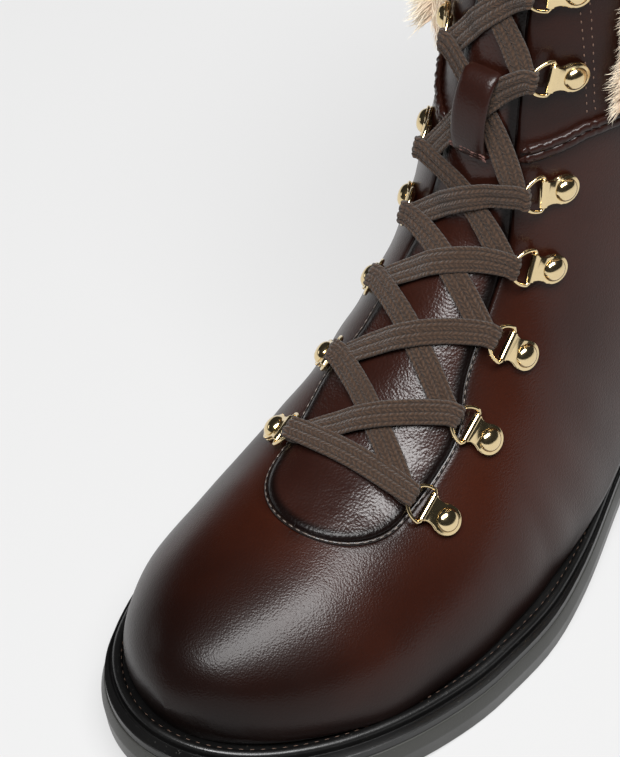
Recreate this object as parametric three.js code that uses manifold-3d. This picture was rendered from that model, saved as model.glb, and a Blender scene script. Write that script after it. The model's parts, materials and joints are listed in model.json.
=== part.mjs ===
// A laced winter boot for the left foot, in millimetres.
// X runs from heel to toe, Y to the outer side of the foot, Z up from the floor.
import * as THREE from 'three';
import { mergeVertices } from 'three/addons/utils/BufferGeometryUtils.js';
import Module from 'manifold-3d';

const wasm = await Module();
wasm.setup();

// Sole sizes
const SOLE_LENGTH = 272;
const BALL_WIDTH = 93.2;
const SEAT_WIDTH = 66;
const TOE_ROUND = 72;
const OUTSOLE_THICKNESS = 9;
const WELT_THICKNESS = 2.9;
const HEEL_LIFT = 11;
const HEEL_LENGTH = 79;
const BREAST_SLANT = 6;
const TOE_SPRING = 6;
const SPRING_START = 200;
const TREAD_START = 150;
const WALL_BEVEL = 0.9;
const WALL_EDGE = 5.4;
const TREAD_BEVEL = 0.6;
const HEEL_RIBS = 5;
const RIB_DEPTH = 0.8;
const RIB_GAP = 0.7;

// Where the upper stands inside the sole's edge
const TOE_MARGIN = 9.5;
const SIDE_MARGIN = 6.6;
const INWARD_SHIFT = 1.2;
const BACK_MARGIN = 4;

// Bead and groove of the welt
const BEAD_WIDTH = 2.6;
const BEAD_HEIGHT = 1.4;
const BEAD_STAND = 1.9;
const WELT_DIP = 0.4;
const WELT_LAP = 3.2;
const INSOLE_THICKNESS = 4;

// Upper sizes
const SHAFT_HEIGHT = 176;
const LEATHER = 2.2;
const INWARD_LEAN = 0.068;
const LOWER_ROUND = 2.4;
const SEAM_HEIGHT = 124.5;
const SEAM_SLOPE = 0.28;
const FACING_END = 131;
const SEAM_STEP = 0.8;
const COUNTER_STEP = 0.9;
const COUNTER_LENGTH = 52;
const COUNTER_HEIGHT = 62;
const COUNTER_TOP = 86;
const COUNTER_EDGE = [1.27, 0.72, 0.4];

// Throat, tongue and facing
const THROAT_ROW = 4.66;
const THROAT_ROUND = 17;
const TONGUE_THICKNESS = 2.6;
const TONGUE_LAP = 7;
const TONGUE_RISE = 7;
const TONGUE_FOOT = 6;
const PLUG_PUFF = 1.3;
const FACING_AROUND = 0.25;
const TONGUE_DIP = 1.4;

// Fur collar
const FUR_DEPTH = 6.5;
const FUR_RISE = 3;
const LOCK_LENGTH = 17;
const LOCK_WIDTH = 12;
const LOCK_ROWS = 2;
const LOCKS_AROUND = 10;

// Hardware and lace
const RING_BAR = 9.2;
const RING_DEPTH = 6;
const RING_WIRE = 1.5;
const RING_LEAN = 0.25;
const BAR_HEIGHT = 2.5;
const CLIP_WIDTH = 7.2;
const CLIP_LENGTH = 9.4;
const CLIP_SHEET = 0.9;
const RIVET_WIDTH = 5.8;
const RIVET_HEIGHT = 1.5;
const LACE_WIDTH = 5.9;
const LACE_THICKNESS = 1.5;
const LACE_LIFT = 1;
const KEEPER_ROW = 11.25;
const KEEPER_LENGTH = 27.2;
const KEEPER_WIDTH = 8.6;
const KEEPER_THICKNESS = 1.3;
const KEEPER_TAPER = 0.36;
const KEEPER_ARCH = 5.6;
const AROUND_PER_MM = 0.718 / BALL_WIDTH;

const CLEARANCE = 0.3;
const FEATHER = OUTSOLE_THICKNESS + WELT_THICKNESS;

const table = (names, rows) => rows.map((row) => Object.fromEntries(names.map((name, i) => [name, row[i]])));

// Sole outline. Places are shares of the sole's length, half widths are shares of the ball and seat
// widths, and the middle line is a share of the ball width.
const OUTLINE = table(['at', 'ofBall', 'ofSeat', 'middle'], [
  [0, 0, 0.5, 0],
  [0.13, 0, 0.5, 0],
  [0.29, 0, 0.485, 0.01],
  [0.44, 0.354, 0, 0.03],
  [0.59, 0.452, 0, 0.045],
  [0.66, 0.493, 0, 0.037],
  [0.735, 0.5, 0, 0.021],
  [0.81, 0.495, 0, 0.003],
  [0.88, 0.495, 0, -0.014],
  [0.94, 0.503, 0, -0.03],
  [1, 0.51, 0, -0.035],
]);

// Upper sections from toe tip to collar. Each one is a flat slice from a ridge point on top of the foot or
// the front of the shaft to a base point on the sole or the back. Ridge places are shares of the sole
// length, the shaft height and the ball width. The base is a share of the upper's own length, its rise a
// share of the shaft height, the half width a share of the ball width, and the widest place a share of
// the slice.
const SECTIONS = table(['ridgeX', 'ridgeZ', 'ridgeY', 'base', 'rise', 'half', 'widest', 'crown'], [
  [0.9754, 0.153, -0.046, 1, 0, 0, 0.6, 2.1],
  [0.969, 0.187, -0.041, 0.991, 0, 0.122, 0.75, 2.1],
  [0.947, 0.226, -0.027, 0.9645, 0, 0.232, 0.86, 2.1],
  [0.905, 0.255, -0.009, 0.9225, 0, 0.327, 0.92, 2.05],
  [0.85, 0.277, 0.009, 0.8678, 0, 0.4, 0.96, 2],
  [0.787, 0.3, 0.021, 0.8039, 0, 0.43, 0.98, 1.95],
  [0.726, 0.328, 0.027, 0.7353, 0, 0.44, 0.98, 1.95],
  [0.667, 0.394, 0.027, 0.6474, 0, 0.42, 0.96, 1.95],
  [0.613, 0.471, 0.027, 0.5549, 0, 0.4, 0.93, 1.95],
  [0.566, 0.548, 0.027, 0.447, 0, 0.375, 0.85, 2],
  [0.551, 0.606, 0.027, 0.3391, 0, 0.365, 0.75, 2.05],
  [0.545, 0.649, 0.027, 0.2312, 0, 0.366, 0.67, 2.1],
  [0.535, 0.707, 0.027, 0.131, 0, 0.366, 0.6, 2.1],
  [0.531, 0.741, 0.027, 0.0609, 0, 0.366, 0.56, 2.1],
  [0.527, 0.775, 0.027, 0.0162, 0, 0.366, 0.54, 2.1],
  [0.522, 0.807, 0.027, 0, 0, 0.366, 0.52, 2.1],
  [0.516, 0.843, 0.027, -0.005, 0.125, 0.368, 0.5, 2.1],
  [0.51, 0.876, 0.027, 0.008, 0.295, 0.37, 0.5, 2.1],
  [0.503, 0.908, 0.027, 0.027, 0.466, 0.374, 0.5, 2.1],
  [0.497, 0.942, 0.027, 0.0424, 0.636, 0.38, 0.5, 2.1],
  [0.49, 0.976, 0.027, 0.0578, 0.778, 0.385, 0.5, 2.1],
  [0.486, 1, 0.027, 0.0674, 0.847, 0.387, 0.5, 2.1],
]);
const HEEL_ROW = 15;
const SEAM_ROW = 13.5;
const LAST_ROW = SECTIONS.length - 1;

// Half width of the throat, as a share of the ball width, at shares of its length from the front end up.
const THROAT = table(['at', 'half'], [
  [0, 0.185],
  [0.1, 0.188],
  [0.2, 0.2],
  [0.26, 0.198],
  [0.33, 0.158],
  [0.45, 0.135],
  [0.55, 0.122],
  [0.65, 0.102],
  [0.8, 0.086],
  [1, 0.062],
]);

// Ring pairs: the section each stands on, the place of its clip round that section from the ridge, how far
// the outer and the inner clip sink below the smooth form, as a share of the leather's thickness, and how
// many degrees both are turned up towards the collar.
const RING_PAIRS = table(['row', 'around', 'outer', 'inner', 'turn'], [
  [6.09, 0.194, 0, 0.27, 15],
  [7.2, 0.195, 0, 0.26, 15],
  [8.28, 0.192, 0.05, 0.33, 18],
  [9.5, 0.186, 0.03, 0.28, 30],
  [11.43, 0.17, 0.25, 0.33, 32],
  [15.6, 0.15, 0.04, 0.04, 20],
  [18.6, 0.126, 0, 0, 10],
]);

const clamp = THREE.MathUtils.clamp;

// Smooth value through a table whose rows have an uneven key.
function along(rows, key, column, value) {
  const last = rows.length - 1;
  const after = rows.findIndex((row) => row[key] > value);
  const i = clamp(after < 0 ? last - 1 : after - 1, 0, last - 1);
  const slope = (k) => {
    const a = rows[Math.max(k - 1, 0)];
    const b = rows[Math.min(k + 1, last)];
    return (b[column] - a[column]) / (b[key] - a[key]);
  };
  const [a, b] = [rows[i], rows[i + 1]];
  const span = b[key] - a[key];
  const t = clamp((value - a[key]) / span, 0, 1);
  return (1 + 2 * t) * (1 - t) ** 2 * a[column] + t * (1 - t) ** 2 * span * slope(i)
    + t * t * (3 - 2 * t) * b[column] - t * t * (1 - t) * span * slope(i + 1);
}

// Smooth value through the evenly counted sections.
function section(column, v) {
  const at = (k) => {
    if (k < 0) return 2 * SECTIONS[0][column] - SECTIONS[1][column];
    if (k > LAST_ROW) return 2 * SECTIONS[LAST_ROW][column] - SECTIONS[LAST_ROW - 1][column];
    return SECTIONS[k][column];
  };
  const i = clamp(Math.floor(v), 0, LAST_ROW - 1);
  const t = v - i;
  const [a, b, c, d] = [at(i - 1), at(i), at(i + 1), at(i + 2)];
  return b + 0.5 * t * (c - a + t * (2 * a - 5 * b + 4 * c - d + t * (3 * (b - c) + d - a)));
}

// Height of the outsole's underside over the floor.
function underside(x) {
  const spring = TOE_SPRING * clamp((x - SPRING_START) / (SOLE_LENGTH - SPRING_START), 0, 1) ** 2;
  const back = THREE.MathUtils.smoothstep(TREAD_START - x, 0, TREAD_START - HEEL_LENGTH);
  return spring + HEEL_LIFT * back;
}

// Half width and middle of the sole's outline, or of one nested inside it by the margins given.
function outline(x, margin) {
  const inner = SOLE_LENGTH - margin.back - margin.toe;
  const at = clamp((x - margin.back) / inner, 0, 1);
  const heelCap = Math.max(1 - at / (SEAT_WIDTH / 2 / SOLE_LENGTH), 0);
  const toeCap = Math.max(1 - (1 - at) / (TOE_ROUND / SOLE_LENGTH), 0);
  const cap = Math.sqrt(Math.max(1 - heelCap ** 2, 0)) * Math.sqrt(Math.max(1 - toeCap ** 2, 0));
  const ofBall = along(OUTLINE, 'at', 'ofBall', at) * BALL_WIDTH;
  const full = ofBall + along(OUTLINE, 'at', 'ofSeat', at) * SEAT_WIDTH;
  return {
    half: full * cap * (1 - margin.side / (BALL_WIDTH / 2)),
    middle: along(OUTLINE, 'at', 'middle', at) * BALL_WIDTH
      - margin.inward * THREE.MathUtils.smoothstep(x, HEEL_LENGTH, SPRING_START),
  };
}

const MARGIN = { toe: TOE_MARGIN, side: SIDE_MARGIN, back: BACK_MARGIN, inward: INWARD_SHIFT };
const EDGE = { toe: 0, side: 0, back: 0, inward: 0 };
const grown = (margin, by) => ({
  toe: margin.toe + by, side: margin.side + by, back: margin.back + by, inward: margin.inward,
});

// Geometry of a closed body through rings of equal count. A ring's point i faces its point count - 1 - i
// across the piece, which closes both ends. A looped body has no ends.
function loft(rings, looped = false) {
  const count = rings[0].length;
  const positions = rings.flatMap((ring) => ring.flatMap((p) => p.toArray()));
  const faces = [];
  const spans = looped ? rings.length : rings.length - 1;
  for (let i = 0; i < spans; i += 1) {
    const [a, b] = [i * count, ((i + 1) % rings.length) * count];
    for (let j = 0; j < count; j += 1) {
      const k = (j + 1) % count;
      faces.push([a + j, b + j, b + k], [a + j, b + k, a + k]);
    }
  }
  const last = (rings.length - 1) * count;
  for (let j = 0; j < Math.floor((count - 1) / 2) && !looped; j += 1) {
    const [m, n] = [count - 1 - j, count - 2 - j];
    faces.push([j, j + 1, n], [j, n, m], [last + j, last + n, last + j + 1], [last + j, last + m, last + n]);
  }
  return welded(positions, faces.flat());
}

// Merged copy of a mesh without collapsed faces, its faces turned to point out.
function welded(positions, index) {
  const raw = new THREE.BufferGeometry();
  raw.setAttribute('position', new THREE.Float32BufferAttribute(positions, 3));
  raw.setIndex(index);
  const merged = mergeVertices(raw, 1e-3);
  const ids = merged.index.array;
  const point = (i) => new THREE.Vector3().fromBufferAttribute(merged.attributes.position, i);
  const kept = [];
  let volume = 0;
  for (let f = 0; f < ids.length; f += 3) {
    const [a, b, c] = [ids[f], ids[f + 1], ids[f + 2]];
    if (a === b || b === c || c === a) continue;
    kept.push(a, b, c);
    volume += point(a).dot(point(b).cross(point(c)));
  }
  if (volume < 0) kept.reverse();
  merged.setIndex(kept);
  return merged;
}

// A geometry as a solid for joins and cuts, and a solid as a geometry again.
function solid(geometry) {
  const bare = new THREE.BufferGeometry();
  bare.setAttribute('position', geometry.attributes.position.clone());
  if (geometry.index) bare.setIndex(geometry.index.clone());
  const merged = mergeVertices(bare, 1e-3);
  return new wasm.Manifold(new wasm.Mesh({
    numProp: 3,
    vertProperties: new Float32Array(merged.attributes.position.array),
    triVerts: new Uint32Array(merged.index.array),
  }));
}

function geometryOf(body) {
  const mesh = body.getMesh();
  const geometry = new THREE.BufferGeometry();
  geometry.setAttribute('position', new THREE.BufferAttribute(new Float32Array(mesh.vertProperties), 3));
  geometry.setIndex(new THREE.BufferAttribute(new Uint32Array(mesh.triVerts), 1));
  return geometry;
}

// Places along the sole, closer together at the round ends and where the waist rises: the span's end as a
// share of the sole length, the steps in it and which end of it is round.
const SPANS = table(['end', 'steps', 'round'], [
  [0.12, 5, -1],
  [0.29, 2, 0],
  [0.55, 9, 0],
  [0.72, 3, 0],
  [1, 7, 1],
]);
const STATIONS = [0];
SPANS.forEach(({ end, steps, round }) => {
  const start = STATIONS.at(-1);
  for (let i = 1; i <= steps; i += 1) {
    const turn = Math.PI / 2 * i / steps;
    const t = { '-1': 1 - Math.cos(turn), 0: i / steps, 1: Math.sin(turn) }[round];
    STATIONS.push(start + (end - start) * t);
  }
});

// Ring round the sole's outline at a height over the underside, up to an x and as wide at the front there.
const HEEL_STEPS = 8;
function soleRing(margin, height, front = SOLE_LENGTH) {
  const start = margin.back;
  const whole = SOLE_LENGTH - margin.toe - start;
  const shares = front < SOLE_LENGTH
    ? Array.from({ length: HEEL_STEPS + 1 }, (_, i) => (
      (1 - Math.cos(Math.PI / 2 * i / HEEL_STEPS)) * (front - start) / whole))
    : STATIONS;
  const sides = [1, -1].map((side) => shares.map((share) => {
    const x = start + whole * share;
    const { half, middle } = outline(x, margin);
    return new THREE.Vector3(x, middle + side * half, height(x));
  }));
  return [...sides[0], ...sides[1].reverse()];
}

function makeOutsole() {
  const level = (margin, z) => soleRing(margin, (x) => underside(x) + z);
  const inner = grown(MARGIN, WELT_LAP + CLEARANCE);
  return loft([
    level(grown(EDGE, TREAD_BEVEL), 0),
    level(grown(EDGE, TREAD_BEVEL / 2), TREAD_BEVEL),
    level(EDGE, WALL_EDGE),
    level(grown(EDGE, WALL_BEVEL), OUTSOLE_THICKNESS),
    level(inner, OUTSOLE_THICKNESS),
    level(inner, FEATHER),
  ]);
}

function makeHeel() {
  const top = HEEL_LIFT - CLEARANCE;
  const pitch = top / HEEL_RIBS;
  const groove = WALL_BEVEL + RIB_DEPTH;
  const level = (inset, z) => {
    const front = HEEL_LENGTH - BREAST_SLANT * (1 - z / top);
    return soleRing(grown(EDGE, inset), () => z, front);
  };
  const levels = [level(WALL_BEVEL, 0)];
  for (let rib = 1; rib < HEEL_RIBS; rib += 1) {
    const z = rib * pitch;
    levels.push(level(WALL_BEVEL, z - RIB_GAP / 2), level(groove, z - RIB_GAP / 4));
    levels.push(level(groove, z + RIB_GAP / 4), level(WALL_BEVEL, z + RIB_GAP / 2));
  }
  levels.push(level(WALL_BEVEL, top));
  return loft(levels);
}

// Welt: a flat strip with a groove and a bead beside the upper, closed on itself round the whole boot.
function makeWelt() {
  const seat = OUTSOLE_THICKNESS + CLEARANCE;
  const strip = grown(EDGE, WALL_BEVEL + 0.2);
  const lap = grown(MARGIN, WELT_LAP);
  const out = (share) => {
    const away = BEAD_STAND + share * BEAD_WIDTH;
    return { ...grown(MARGIN, -away), back: BACK_MARGIN - 0.55 * away };
  };
  const profile = [
    [lap, seat],
    [strip, seat],
    [strip, FEATHER - WELT_DIP],
    [out(1), FEATHER - WELT_DIP],
    [out(0.8), FEATHER + 0.75 * BEAD_HEIGHT],
    [out(0.5), FEATHER + BEAD_HEIGHT],
    [out(0), FEATHER],
    [lap, FEATHER],
  ];
  return loft(profile.map(([margin, z]) => soleRing(margin, (x) => underside(x) + z)), true);
}

function makeInsole() {
  const inner = grown(MARGIN, LEATHER + CLEARANCE + 2.2);
  const level = (margin, z) => soleRing(margin, (x) => underside(x) + FEATHER + z);
  return loft([
    level(inner, CLEARANCE),
    level(grown(inner, 0.5), INSOLE_THICKNESS),
  ]);
}

// Ridge and base points of the section at v, with its half widths.
function slice(v) {
  const length = SOLE_LENGTH - BACK_MARGIN - TOE_MARGIN;
  const baseX = BACK_MARGIN + section('base', v) * length;
  const edge = outline(baseX, MARGIN);
  const onSole = v <= HEEL_ROW;
  const rise = onSole ? 0 : section('rise', v) * SHAFT_HEIGHT;
  const foot = onSole ? edge.half : 0;
  const heel = underside(BACK_MARGIN);
  return {
    ridge: new THREE.Vector3(section('ridgeX', v) * SOLE_LENGTH, section('ridgeY', v) * BALL_WIDTH,
      section('ridgeZ', v) * SHAFT_HEIGHT),
    base: new THREE.Vector3(baseX, onSole ? edge.middle : 0,
      (onSole ? underside(baseX) : heel) + FEATHER + CLEARANCE + rise),
    foot,
    half: Math.max(section('half', v) * BALL_WIDTH, foot * 1.012, 0.001),
    widest: section('widest', v),
    crown: section('crown', v),
  };
}

// Point of the upper's outer face. u is 0 on the ridge, 1 at the outer side's base, -1 at the inner side's.
function skinPoint(v, u) {
  const s = slice(v);
  const side = Math.sign(u);
  const a = Math.abs(u);
  let y;
  let q;
  if (a <= 0.5) {
    const turn = a * Math.PI;
    y = s.half * Math.sin(turn) ** (2 / s.crown);
    q = s.widest * (1 - Math.max(Math.cos(turn), 0) ** (2 / s.crown));
  } else {
    const reach = (1 - (s.foot / s.half) ** LOWER_ROUND) ** (1 / LOWER_ROUND);
    const turn = (2 * a - 1) * Math.asin(reach ** (LOWER_ROUND / 2));
    y = s.half * Math.max(Math.cos(turn), 0) ** (2 / LOWER_ROUND);
    q = s.widest + (1 - s.widest) * Math.sin(turn) ** (2 / LOWER_ROUND) / reach;
  }
  const p = s.ridge.lerp(s.base, q);
  p.y += side * y;
  p.z -= INWARD_LEAN * side * y * (1 - q);
  return p;
}

function skinNormal(v, u) {
  const [dv, du] = [0.03, 0.012];
  const up = skinPoint(Math.min(v + dv, LAST_ROW), u).sub(skinPoint(Math.max(v - dv, 0), u));
  const across = skinPoint(v, Math.min(u + du, 1)).sub(skinPoint(v, Math.max(u - du, -1)));
  const normal = up.cross(across).negate();
  const closed = v === 0 || (v >= HEEL_ROW && Math.abs(u) === 1);
  if (closed || u === 0) normal.y = 0;
  return normal.normalize();
}

const skin = (v, u, out) => skinPoint(v, u).addScaledVector(skinNormal(v, u), out);

// Closed body of the boot's whole form, its face moved out by a distance, drawn down past the sole's top
// and up past the collar so that it can cut.
const SIDE_STEPS = 8;
const TOE_STEPS = 11;
const TOE_ROWS = 6;
const ROWS = [
  ...Array.from({ length: TOE_STEPS }, (_, i) => TOE_ROWS * i / TOE_STEPS),
  ...Array.from({ length: LAST_ROW - TOE_ROWS + 1 }, (_, i) => TOE_ROWS + i),
];
function form(out, down = 8, up = 0) {
  const rings = ROWS.map((v) => {
    const distance = typeof out === 'function' ? (u) => out(v, u) : () => out;
    const ring = Array.from({ length: 2 * SIDE_STEPS + 1 }, (_, j) => {
      const u = 1 - j / SIDE_STEPS;
      return skin(v, u, distance(u));
    });
    const drop = new THREE.Vector3(0, 0, v <= HEEL_ROW ? -down : 0);
    return [ring[0].clone().add(drop), ...ring, ring.at(-1).clone().add(drop)];
  });
  if (up > 0) rings.push(rings.at(-1).map((p) => p.clone().add(new THREE.Vector3(-0.1 * up, 0, up))));
  return solid(loft(rings));
}

// Everything under the sole's top.
function underFeather(gap) {
  const places = STATIONS.map((share) => share * SOLE_LENGTH);
  const rings = [-40, ...places, SOLE_LENGTH + 40].map((x) => {
    const top = underside(clamp(x, 0, SOLE_LENGTH)) + FEATHER + gap;
    const corners = [[1, top], [1, -40], [-1, -40], [-1, top]];
    return corners.map(([side, z]) => new THREE.Vector3(x, side * BALL_WIDTH, z));
  });
  return solid(loft(rings));
}

// Ridge line with its distance from the throat's front end.
const RIDGE_STEPS = 120;
const RIDGE = Array.from({ length: RIDGE_STEPS + 1 }, (_, i) => {
  const v = LAST_ROW * i / RIDGE_STEPS;
  return { v, point: slice(v).ridge };
});
RIDGE.forEach((r, i) => {
  r.s = i === 0 ? 0 : RIDGE[i - 1].s + r.point.distanceTo(RIDGE[i - 1].point);
});
const ridgeAt = (s) => {
  const i = clamp(RIDGE.findIndex((r) => r.s > s), 1, RIDGE_STEPS);
  const [a, b] = [RIDGE[i - 1], RIDGE[i]];
  const t = (s - a.s) / (b.s - a.s);
  const ahead = b.point.clone().sub(a.point).normalize();
  return {
    v: a.v + (b.v - a.v) * t,
    point: a.point.clone().lerp(b.point, t),
    normal: new THREE.Vector3(ahead.z, 0, -ahead.x),
  };
};
const distanceAt = (v) => along(RIDGE, 'v', 's', v);
const rowAt = (s) => along(RIDGE, 's', 'v', s);
const THROAT_START = distanceAt(THROAT_ROW);
const RIDGE_LENGTH = RIDGE[RIDGE_STEPS].s;

// Half width of the throat at a distance along the ridge.
function throatHalf(s) {
  const at = clamp((s - THROAT_START) / (RIDGE_LENGTH - THROAT_START), 0, 1);
  return along(THROAT, 'at', 'half', at) * BALL_WIDTH;
}

// Prism that stands on the throat's outline, grown on all sides.
function throat(grow, up = 0) {
  const stops = [0.01, 0.08, 0.2, 0.4, 0.65, 1, 1.6, 2.3, 2.8, 3.3, 4, 4.8, 5.6, 6.6, 7.8];
  const end = RIDGE_LENGTH + 12 + up;
  const start = THROAT_START - grow;
  const places = stops.map((k) => start + k * (THROAT_ROUND + grow)).filter((s) => s < end);
  places.push(end);
  const rings = places.map((s) => {
    const at = ridgeAt(Math.min(s, RIDGE_LENGTH));
    const past = Math.max(s - RIDGE_LENGTH, 0);
    at.point.add(new THREE.Vector3(-0.1 * past, 0, past));
    const into = clamp((start + THROAT_ROUND + grow - s) / (THROAT_ROUND + grow), 0, 1);
    const half = (throatHalf(s) + grow) * Math.sqrt(1 - into ** 2);
    return [[14, 1], [-24, 1], [-24, -1], [14, -1]].map(([out, side]) => {
      const p = at.point.clone().addScaledVector(at.normal, out);
      p.y += side * half;
      return p;
    });
  });
  return solid(loft(rings));
}

// Everything over the ankle seam, which is level round the back and comes down towards the throat.
function overSeam() {
  const box = new THREE.BoxGeometry(3 * SOLE_LENGTH, 3 * SOLE_LENGTH, SHAFT_HEIGHT);
  box.deleteAttribute('uv');
  const ahead = SOLE_LENGTH / 2;
  const top = SEAM_HEIGHT + 1;
  const corners = [
    [FACING_END, top],
    [FACING_END, SEAM_HEIGHT],
    [FACING_END + ahead, SEAM_HEIGHT - SEAM_SLOPE * ahead],
    [FACING_END + ahead, top],
  ];
  const wedge = [1, -1].map((side) => corners.map(([x, z]) => new THREE.Vector3(x, side * BALL_WIDTH, z)));
  return solid(box.translate(0, 0, SEAM_HEIGHT + SHAFT_HEIGHT / 2)).add(solid(loft(wedge)));
}

// Everything behind the heel counter's edge, which leans forward as it goes down.
function behindCounter() {
  const [foot, bend, end] = COUNTER_EDGE.map((share) => share * COUNTER_LENGTH);
  const back = -SEAT_WIDTH;
  const corners = [
    [back, back],
    [foot, back],
    [foot, FEATHER],
    [bend, COUNTER_HEIGHT],
    [end, COUNTER_TOP],
    [back, COUNTER_TOP + COUNTER_EDGE[1] * (end - back) / 6],
  ];
  const rings = [1, -1].map((side) => corners.map(([x, z]) => new THREE.Vector3(x, side * BALL_WIDTH, z)));
  return solid(loft(rings));
}

function makeUpper() {
  const floor = underFeather(CLEARANCE);
  const outer = form(0);
  const inner = form(-LEATHER, 12, 10);
  const raised = form(-SEAM_STEP, 8, 10);
  const overFoot = (v, u) => skinPoint(v, u).z - HEEL_LIFT - FEATHER;
  const swell = (v, u) => COUNTER_STEP * THREE.MathUtils.smoothstep(overFoot(v, u), 1, 6);
  const counter = form(swell).subtract(form(-LEATHER / 2, 12, 10)).intersect(behindCounter());
  const stepped = outer.subtract(overSeam().subtract(raised));
  return geometryOf(stepped.add(counter).subtract(inner).subtract(throat(0)).subtract(floor));
}

// Height of the tongue's face over the upper's outer face.
function tongueLift(v) {
  return PLUG_PUFF - TONGUE_DIP * THREE.MathUtils.smoothstep(v, THROAT_ROW + 2, THROAT_ROW + 5);
}

// Tongue: a thin sheet under the facings, filled out in the throat by a padded middle.
function makeTongue() {
  const under = -LEATHER - CLEARANCE;
  const inside = form(under - TONGUE_THICKNESS, 8, TONGUE_RISE + TONGUE_FOOT);
  const pad = form(tongueLift, 8, TONGUE_RISE).intersect(throat(-CLEARANCE, TONGUE_RISE));
  const sheet = form(under, 8, TONGUE_RISE).intersect(throat(TONGUE_LAP, TONGUE_RISE));
  return geometryOf(pad.add(sheet).subtract(inside).subtract(underFeather(TONGUE_FOOT)));
}

// Place and directions of the clip that stands at a place round a section: out along the clip, up the
// throat's edge and away from the leather.
function clipFrame(pair, side) {
  const u = side * pair.around;
  const normal = skinNormal(pair.row, u);
  const out = skinPoint(pair.row, u + side * 0.02).sub(skinPoint(pair.row, u - side * 0.02));
  out.addScaledVector(normal, -out.dot(normal)).normalize();
  out.applyAxisAngle(normal, side * THREE.MathUtils.degToRad(pair.turn));
  const up = normal.clone().cross(out).multiplyScalar(side);
  const sunk = LEATHER * (side > 0 ? pair.outer : pair.inner) + (pair.row > SEAM_ROW ? SEAM_STEP : 0);
  const origin = skinPoint(pair.row, u).addScaledVector(normal, -sunk);
  return { origin, out, up, normal };
}

// Matrix that takes X along the clip, Y up the throat's edge and Z away from the leather.
function clipMatrix(frame, side) {
  const y = frame.up.clone().multiplyScalar(side);
  return new THREE.Matrix4().makeBasis(frame.out, y, frame.normal).setPosition(frame.origin);
}

const BAR_PLACE = -0.42 * CLIP_LENGTH;

// Clip: a sheet folded round the ring's bar and riveted through both layers.
function makeClip() {
  const thick = 2 * CLIP_SHEET;
  const eye = RING_WIRE / 2 + CLEARANCE;
  const end = CLIP_LENGTH + BAR_PLACE;
  const half = CLIP_WIDTH / 2;
  const plan = new THREE.Shape();
  plan.moveTo(BAR_PLACE, -half);
  plan.lineTo(end - 1.15 * half, -half);
  plan.absellipse(end - 0.85 * half, 0, 0.85 * half, 0.85 * half, -Math.PI / 2, Math.PI / 2);
  plan.lineTo(end - 1.15 * half, half);
  plan.lineTo(BAR_PLACE, half);
  const plate = new THREE.ExtrudeGeometry(plan, { depth: thick, bevelEnabled: false, curveSegments: 3 });
  plate.translate(0, 0, CLEARANCE);
  const roll = (radius, length) => new THREE.CylinderGeometry(radius, radius, length, 6)
    .translate(BAR_PLACE, 0, 0).translate(0, 0, BAR_HEIGHT);
  const dome = new THREE.LatheGeometry([[0, 0], [0.5, 0], [0.37, 0.7], [0, 1]].map(
    ([r, z]) => new THREE.Vector2(r * RIVET_WIDTH, z * RIVET_HEIGHT)), 6);
  dome.rotateX(Math.PI / 2).translate(end - 0.85 * half, 0, thick + CLEARANCE - 0.02);
  return solid(plate).add(solid(roll(eye + CLIP_SHEET, CLIP_WIDTH))).add(solid(dome))
    .subtract(solid(roll(eye, 2 * CLIP_WIDTH)));
}

// Closed tube through points of a plane.
function hoop(points, normal, radius, sides) {
  const middle = points.reduce((sum, p) => sum.add(p), new THREE.Vector3()).divideScalar(points.length);
  const rings = points.map((p, i) => {
    const ahead = points[(i + 1) % points.length].clone().sub(points.at(i - 1)).normalize();
    const away = ahead.clone().cross(normal);
    if (away.dot(p.clone().sub(middle)) < 0) away.negate();
    return Array.from({ length: sides }, (_, k) => {
      const turn = 2 * Math.PI * (k + 0.5) / sides;
      const wide = p.clone().addScaledVector(away, radius * Math.cos(turn));
      return wide.addScaledVector(normal, radius * Math.sin(turn));
    });
  });
  return loft(rings, true);
}

// D-ring: a straight bar inside the clip and a round bow that leans up off the leather.
function makeRing() {
  const half = RING_BAR / 2;
  const flat = [[-0.86, 0], [0.86, 0]].map(([y, d]) => [y * half, d]);
  const bow = Array.from({ length: 6 }, (_, i) => {
    const turn = Math.PI * (i + 0.3) / 5.6;
    return [half * Math.cos(turn), RING_DEPTH * Math.sin(turn) ** 0.75];
  });
  const lean = new THREE.Vector3(-Math.cos(RING_LEAN), 0, Math.sin(RING_LEAN));
  const at = ([y, d]) => new THREE.Vector3(BAR_PLACE, y, BAR_HEIGHT).addScaledVector(lean, d);
  const points = [...flat, ...bow].map(at);
  const normal = lean.clone().cross(new THREE.Vector3(0, 1, 0));
  return hoop(points, normal, RING_WIRE / 2, 4);
}

// Flat strap over the leather between two places, each a section and a place round it.
function strap(from, to, width, thickness, height, steps = 8) {
  const place = (t) => {
    const v = rowAt(THREE.MathUtils.lerp(distanceAt(from.row), distanceAt(to.row), t));
    const u = THREE.MathUtils.lerp(from.around, to.around, t);
    return { point: skin(v, u, height(t, v)), normal: skinNormal(v, u) };
  };
  const rings = Array.from({ length: steps + 1 }, (_, i) => {
    const t = i / steps;
    const { point, normal } = place(t);
    const ahead = place(Math.min(t + 0.02, 1)).point.sub(place(Math.max(t - 0.02, 0)).point).normalize();
    const across = ahead.cross(normal).normalize();
    return [[-1, -1], [-1, 1], [1, 1], [1, -1]].map(([a, b]) => point.clone()
      .addScaledVector(across, a * width(t) / 2).addScaledVector(normal, b * thickness / 2));
  });
  return solid(loft(rings));
}

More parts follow.
